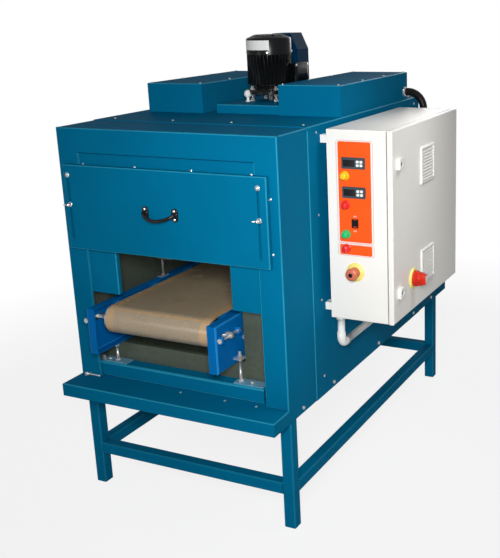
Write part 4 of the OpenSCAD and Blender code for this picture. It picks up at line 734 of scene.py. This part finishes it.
# ---- screws and bolts ----
motor = {"x": 440, "y": 604, "radius": 78, "screwZ": 1441, "screwTurn": 25, "plateFrom": -162, "plateTo": -60,
         "plateLow": 1450, "plateHigh": 1482, "thick": 0.6, "plateSteps": 18}
heads = {
    "panHead": {"Radius": 0.0042, "Height": 0.0024, "Sides": 14, "Crown": 0.7, "Socket": 0.5, "Seed": 7},
    "hexHead": {"Radius": 0.0065, "Height": 0.005, "Sides": 6, "Crown": 0.86, "Socket": 0.3, "Seed": 7},
}
screws = {"hood": 182, "exitHood": 226,
          "topX": (59, 291, 513, 767), "topIn": 40, "topZ": 1245,
          "sideZ": (1222, 967, 691, 432), "sideIn": 56,
          "skirtY": (90, 304, 683), "skirtBack": (90, 304), "skirtZ": 384, "skirtOut": 2,
          "coverX": (92, 293, 499, 706), "coverIn": 8, "coverZ": 1128,
          "panelX": (25, cabinetWidth - 30), "panelZ": (1062, 899),
          "shelfX": (411, 577, 690), "shelfOut": 10, "shelfZ": 411,
          "footX": (102, 655), "footIn": 34, "footZ": 465,
          "ducts": ((46, 272), (cabinetWidth - 230, cabinetWidth - 4)), "ductIn": 12,
          "ductY": (437, 624, 806, 993), "ductZ": 1345,
          "trayX": (370.5, 509.5), "trayY": (708, 768), "trayZ": 1277}
handle = {"x": (342, 450), "z": (983, 1009), "frontY": -24, "exitY": cabinetLength + 24.05}


def screwSpots(spec):
    # pan heads and hexagon heads: the spot, and the direction the head faces
    exitSeam = cabinetLength - spec["exitHood"]
    pan, hexes = [], []
    for y in (spec["hood"] + spec["topIn"], exitSeam - spec["topIn"]):
        pan += [((x, y, spec["topZ"]), (0, 0, 1)) for x in spec["topX"]]
    for x, f in ((0, -1), (cabinetWidth, 1)):
        for y in (spec["hood"] + spec["sideIn"], exitSeam - spec["sideIn"]):
            pan += [((x, y, z), (f, 0, 0)) for z in spec["sideZ"]]
        for y in spec["skirtY"] + tuple(cabinetLength - v for v in spec["skirtBack"]):
            step = 0 if spec["hood"] < y < exitSeam else spec["skirtOut"]
            hexes.append(((x - step * f, y, spec["skirtZ"]), (f, 0, 0)))
    for end, y, side in ends:
        if end == "Front":
            pan += [((x, y + spec["coverIn"], spec["coverZ"]), (0, -side, 0)) for x in spec["coverX"]]
        pan += [((x, y, z), (0, -side, 0)) for x in spec["panelX"] for z in spec["panelZ"]]
        pan += [((x, y - side * spec["shelfOut"], spec["shelfZ"]), (0, 0, 1)) for x in spec["shelfX"]]
        hexes += [((x, y + side * spec["footIn"], spec["footZ"]), (0, 0, 1)) for x in spec["footX"]]
    for low, high in spec["ducts"]:
        for x in (low + spec["ductIn"], high - spec["ductIn"]):
            pan += [((x, y, spec["ductZ"]), (0, 0, 1)) for y in spec["ductY"]]
    for k in range(4):
        a = math.radians(motor["screwTurn"] + 90 * k)
        out = (math.cos(a), math.sin(a), 0)
        pan.append(((motor["x"] + motor["radius"] * out[0], motor["y"] + motor["radius"] * out[1],
                     motor["screwZ"]), out))
    pan += [((x, y, spec["trayZ"]), (0, 0, 1)) for x in spec["trayX"] for y in spec["trayY"]]
    return pan, hexes


def handleSpots(y, f):
    return [((x, y, z), (0, f, 0)) for x in handle["x"] for z in handle["z"]]


pan, hexes = screwSpots(screws)
for name, key, spots, body in (
        ("cabinetScrews", "panHead", pan, cabinet), ("frameBolts", "hexHead", hexes, cabinet),
        ("frontHandleScrews", "panHead", handleSpots(handle["frontY"], -1), bodyOf["gate_front"]),
        ("exitHandleScrews", "panHead", handleSpots(handle["exitY"], 1), bodyOf["gate_exit"])):
    made = grown(name, pointsMesh(name + "Spots", spots), trees["screws"],
                 dict(heads[key], Material=finish["bright"]))
    link(made, body, (), crease["fine"])
print("screws made:", len(pan), "and", len(hexes))

# ---- corrugated conduit ----
hose = {"start": 805, "end": 859, "x": 812, "y": 975, "z": 1275, "bend": 60, "drop": 65, "step": 6,
        "ribs": {"Radius": 0.0137, "Bead": 0.0011, "Pitch": 0.0042, "Sides": 22, "Bead Sides": 5}}


def hosePath(spec):
    r, x, y, z = (spec[k] for k in ("bend", "x", "y", "z"))
    low = z - r - spec["drop"]
    quarter = [math.radians(a) for a in range(0, 91, spec["step"])]
    points = [(spec["start"], y, z)]
    points += [(x + r * math.sin(a), y, z - r + r * math.cos(a)) for a in quarter]
    points += [(x + r, y - r + r * math.cos(a), low - r * math.sin(a)) for a in quarter]
    points.append((x + r, spec["end"], low - r))
    return [at(*p) for p in points]


ribs = grown("conduitRibs", pathMesh("conduitPath", hosePath(hose)), trees["rings"],
             dict(hose["ribs"], Material=finish["hose"]))
link(ribs, bodyOf["conduit"], (), crease["ribs"])
print("conduit ribbed")

# ---- printed fascia ----
film = {"x": 865, "y": 250, "width": 108, "depth": 1, "panels": ((887, 310, 5), (846, 32, 4)),
        "border": ((7, 4.2, 0.2, "filmEdge"), (5.2, 2.6, 0.3, "pale"))}
letterForm = {"depth": 0.06, "steps": 3}
letters = (
    ("switchOn", "ON", (918, 248.75, 968), 6.5, 0, "fascia", "white"),
    ("switchOff", "OFF", (918, 248.75, 922), 6.5, 0, "fascia", "white"),
    ("isolatorOff", "OFF", (1048.1, 415, 766.5), 6, 90, "door_fittings", "blackPlastic"),
    ("isolatorOn", "ON", (1048.1, 443.5, 738), 6, 90, "door_fittings", "blackPlastic"),
)
stopMark = {"place": (915, 211.05, 791), "profile": [(7, 0), (7, 0.4), (6.4, 0.7)], "sides": 24}


def filmPanels(spec, side, end, depth):
    # both panels of the film, wider by side and longer by end all round
    return [roundedPlate("film", (spec["x"] - side, spec["y"], z - end), spec["width"] + 2 * side,
                         height + 2 * end, depth, r + end)
            for z, height, r in spec["panels"]]


def makeFascia(spec):
    face = joined("fasciaFilm", filmPanels(spec, 0, 0, spec["depth"]))
    link(face, bodyOf["fascia"], ["orange"], None, ("fascia",))
    for side, end, depth, material in spec["border"]:
        line = joined("fasciaBorder", filmPanels(spec, side, end, depth))
        link(line, bodyOf["fascia"], [material], None, ())


def lettering(name, words, place, height, turn, node, material):
    curve = bpy.data.curves.new(name, "FONT")
    curve.body, curve.size = words, height / 1000
    curve.extrude, curve.resolution_u = letterForm["depth"] / 1000, letterForm["steps"]
    curve.align_x, curve.align_y = "CENTER", "CENTER"
    obj = bpy.data.objects.new(name + "Curve", curve)
    bpy.context.scene.collection.objects.link(obj)
    mesh = bpy.data.meshes.new_from_object(obj.evaluated_get(bpy.context.evaluated_depsgraph_get()))
    bpy.data.objects.remove(obj)
    mesh.name = name
    upright = Matrix.Rotation(math.radians(turn), 4, "Z") @ Matrix.Rotation(math.pi / 2, 4, "X")
    mesh.transform(Matrix.Translation(at(*place)) @ upright)
    link(bpy.data.objects.new(name, mesh), bodyOf[node], [material])


makeFascia(film)
for row in letters:
    lettering(*row)
mark = turned("stopMark", stopMark["place"], (0, -1, 0), stopMark["profile"], stopMark["sides"])
link(mark, bodyOf["stop_button"], ["blackPlastic"], crease["fine"])
print("fascia made")

# ---- motor: blank rating plate, and the capped post beside it ----
post = {"place": (384, 540, 1275), "sides": 28,
        "profile": [(9, 0), (9, 3), (5, 3.5), (5, 16), (8.5, 16.5), (11.5, 20), (13, 25), (13, 28), (12, 32),
                    (9.6, 36), (6.5, 38.6), (3, 40), (0.4, 40.4)]}


def makeRatingPlate(spec):
    points, steps, inner = [], spec["plateSteps"], spec["radius"]
    low, high, outer = spec["plateLow"], spec["plateHigh"], spec["radius"] + spec["thick"]
    for k in range(steps + 1):
        a = math.radians(spec["plateFrom"] + (spec["plateTo"] - spec["plateFrom"]) * k / steps)
        for r, z in ((inner, low), (inner, high), (outer, high), (outer, low)):
            points.append(at(spec["x"] + r * math.cos(a), spec["y"] + r * math.sin(a), z))
    link(tube("ratingPlate", points, 4), bodyOf["motor_cowl"], ["white"], crease["fine"])


makeRatingPlate(motor)
cap = turned("postCap", post["place"], (0, 0, 1), post["profile"], post["sides"])
link(cap, cabinet, ["white"], crease["cap"])
print("motor trimmed")

# ---- brackets, painted highlight strips on the opening jambs, a painted shadow line over the recess, and the wing bolts at the shelves ----
foot = {"x": 74, "in": 16, "z": 461, "width": 22, "legs": (26, 22)}
hanger = {"x": 100, "in": 329, "z": 774.9, "width": 66, "legs": (30, 40), "boltX": 107, "boltZ": 743,
          "bolt": [(5, -5), (5, 2), (4.2, 3.5), (2.4, 3.5), (2.4, 9)], "sides": 18}
# thin lighter strips on the jambs of both end openings: painted highlight
jambHighlight = {"x": (78.4, 720.1), "width": 1.5, "depth": 0.12, "radius": 0.3,
          "runs": {"Front": ((432, 424), (1130, 35)), "Exit": ((432, 380),)}}
# a dark strip along the top edge of the front recess: painted shadow
recessShadow = {"place": (80, 0, 1165.1), "width": 640, "height": 1.6, "depth": 0.12, "radius": 0.3}
wingBolt = {"x": 25, "z": 417.7, "out": 11, "rod": [(2.6, 0), (3.2, 0.8), (3.2, 62), (2.4, 63)],
            "hubAt": 8, "hub": [(6.4, 0), (6.4, 2), (5, 9)], "sides": 16, "wingAt": 9, "wingGap": 4,
            "wing": (9, 11, 2.4, 3.2), "bevel": 0.6}


def bentStrip(name, low, spec, body, flip=1, rise=1, thickness=2.5):
    # an angle strip folded round a small radius: low is the outside corner, its width runs along X
    outside = thickness * 1.5
    arcs = []
    for r in (outside, outside - thickness + 0.01):
        bend = [math.radians(a) for a in range(0, 91, 15)]
        arcs.append([(outside - r * math.cos(a), outside - r * math.sin(a)) for a in bend])
    across, upward = spec["legs"]
    loop = [(0, upward)] + arcs[0] + [(across, 0), (across, thickness)] + arcs[1][::-1] + [(thickness, upward)]
    points = [at(low[0] + dx, low[1] + flip * y, low[2] + rise * z)
              for dx in (0, spec["width"]) for y, z in loop]
    link(tube(name, points, len(loop)), body, ["zinc"])


def makeWingBolt(name, y, spec):
    x, z, sides = spec["x"], spec["z"], spec["sides"]
    width, height, depth, radius = spec["wing"]
    parts = [turned("rod", (x, y, z), (1, 0, 0), spec["rod"], sides),
             turned("hub", (x + spec["hubAt"], y, z), (1, 0, 0), spec["hub"], sides)]
    for low in (spec["wingGap"], -spec["wingGap"] - height):
        parts.append(roundedPlate("wing", (x + spec["wingAt"], y + low, z - depth / 2), width, height, depth,
                                  radius, (1, 0, 0), (0, 1, 0), spec["bevel"]))
    link(joined(name, parts), cabinet, ["bright"], crease["cast"])


for end, y, side in ends:
    bentStrip("footBracket" + end, (foot["x"], y + side * foot["in"], foot["z"]), foot, cabinet, side)
for end, y, side in ends:
    near = y + side * hanger["in"]
    bentStrip("hanger" + end, (hanger["x"], near, hanger["z"]), hanger, bodyOf["air_boxes"], side, -1)
    bolt = turned("hanger" + end + "Bolt", (hanger["boltX"], near, hanger["boltZ"]), (0, -side, 0),
                  hanger["bolt"], hanger["sides"])
    link(bolt, cabinet, ["bright"], crease["cast"])
# the lighter strips on the opening jambs: painted highlight
for end, y, side in ends:
    strips = [roundedPlate("strip", (x if side > 0 else x + jambHighlight["width"], y, z), jambHighlight["width"], long,
                           jambHighlight["depth"], jambHighlight["radius"], (side, 0, 0))
              for x in jambHighlight["x"] for z, long in jambHighlight["runs"][end]]
    link(joined("jambHighlights" + end, strips), cabinet, ["tealEdge"])
# the dark strip along the recess's top edge: painted shadow
line = roundedPlate("recessShadowLine", recessShadow["place"], recessShadow["width"], recessShadow["height"], recessShadow["depth"], recessShadow["radius"])
link(line, cabinet, ["flue"])
for end, y, side in ends:
    makeWingBolt("wingBolt" + end, y - side * wingBolt["out"], wingBolt)
print("small parts made")

# ---- room ----
# each lamp: name, place, what it is aimed at, size in metres, watts, spread in degrees
room = {"radius": 9, "floor": 0.84, "ambient": 0.15, "gloss": 0.35,
        "glow": 0.84, "glowFrom": 1.5, "glowTo": 2.6,
        "lamps": (("keyLight", (1800, -1850, 1650), (800, 200, 950), 0.5, 10.4, 75),
                  ("fillLight", (-900, -2500, 1300), (400, 300, 700), 0.6, 5.5, 180),
                  ("topLight", (1500, 450, 1950), (1000, 420, 1080), 0.5, 0.6, 45),
                  ("backLight", (350, 4200, 2100), (300, 900, 800), 1.6, 22, 180))}


def rays(nt, gloss):
    # 1 for what is seen straight or through something, gloss for what is mirrored, else 0
    path = nt.nodes.new("ShaderNodeLightPath")
    mirrored = sums(nt, "MULTIPLY", path.outputs["Is Glossy Ray"], gloss)
    seen = sums(nt, "MAXIMUM", path.outputs["Is Camera Ray"], mirrored)
    return sums(nt, "MAXIMUM", seen, path.outputs["Is Transmission Ray"])


def makeBackdrop(spec):
    world = bpy.data.worlds.new("room")
    bpy.context.scene.world = world
    world.use_nodes = True
    nt = world.node_tree
    back = nt.nodes["Background"]
    back.inputs["Color"].default_value = (1, 1, 1, 1)
    nt.links.new(ramp(nt, rays(nt, spec["gloss"]), 0, 1, spec["ambient"], 1.0), back.inputs["Strength"])


def makeFloor(spec):
    # pale painted floor that fades into the backdrop and keeps its shadow
    bpy.ops.mesh.primitive_circle_add(vertices=64, radius=spec["radius"], fill_type="NGON")
    floor = bpy.context.object
    floor.name = "floor"
    material, nt, shader, coords = tree("floorPaint")
    cloud = noise(nt, coords.outputs["Object"], 1.5, 3)
    tone = mix(nt, cloud, (spec["floor"] - 0.01,) * 3, (spec["floor"] + 0.01,) * 3)
    nt.links.new(tone, shader.inputs["Base Color"])
    shader.inputs["Roughness"].default_value = 0.9
    shader.inputs["Specular IOR Level"].default_value = 0.1
    glow = nt.nodes.new("ShaderNodeEmission")
    share = nt.nodes.new("ShaderNodeMixShader")
    reach = nt.nodes.new("ShaderNodeVectorMath")
    reach.operation = "LENGTH"
    nt.links.new(coords.outputs["Object"], reach.inputs[0])
    far = ramp(nt, reach.outputs["Value"], spec["glowFrom"], spec["glowTo"], spec["glow"], 1.0)
    nt.links.new(sums(nt, "MULTIPLY", rays(nt, spec["gloss"]), far), share.inputs["Fac"])
    nt.links.new(shader.outputs[0], share.inputs[1])
    nt.links.new(glow.outputs[0], share.inputs[2])
    nt.links.new(share.outputs[0], nt.nodes["Material Output"].inputs["Surface"])
    floor.data.materials.append(material)


def makeLamps(rows):
    for name, place, aim, size, power, spread in rows:
        data = bpy.data.lights.new(name, "AREA")
        data.size, data.energy, data.spread = size, power, math.radians(spread)
        lamp = bpy.data.objects.new(name, data)
        lamp.location = at(*place)
        lamp.rotation_euler = (at(*aim) - at(*place)).to_track_quat("-Z", "Y").to_euler()
        bpy.context.scene.collection.objects.link(lamp)


makeBackdrop(room)
makeFloor(room)
makeLamps(room["lamps"])
bpy.context.scene.view_settings.view_transform = "Standard"
print("room made")
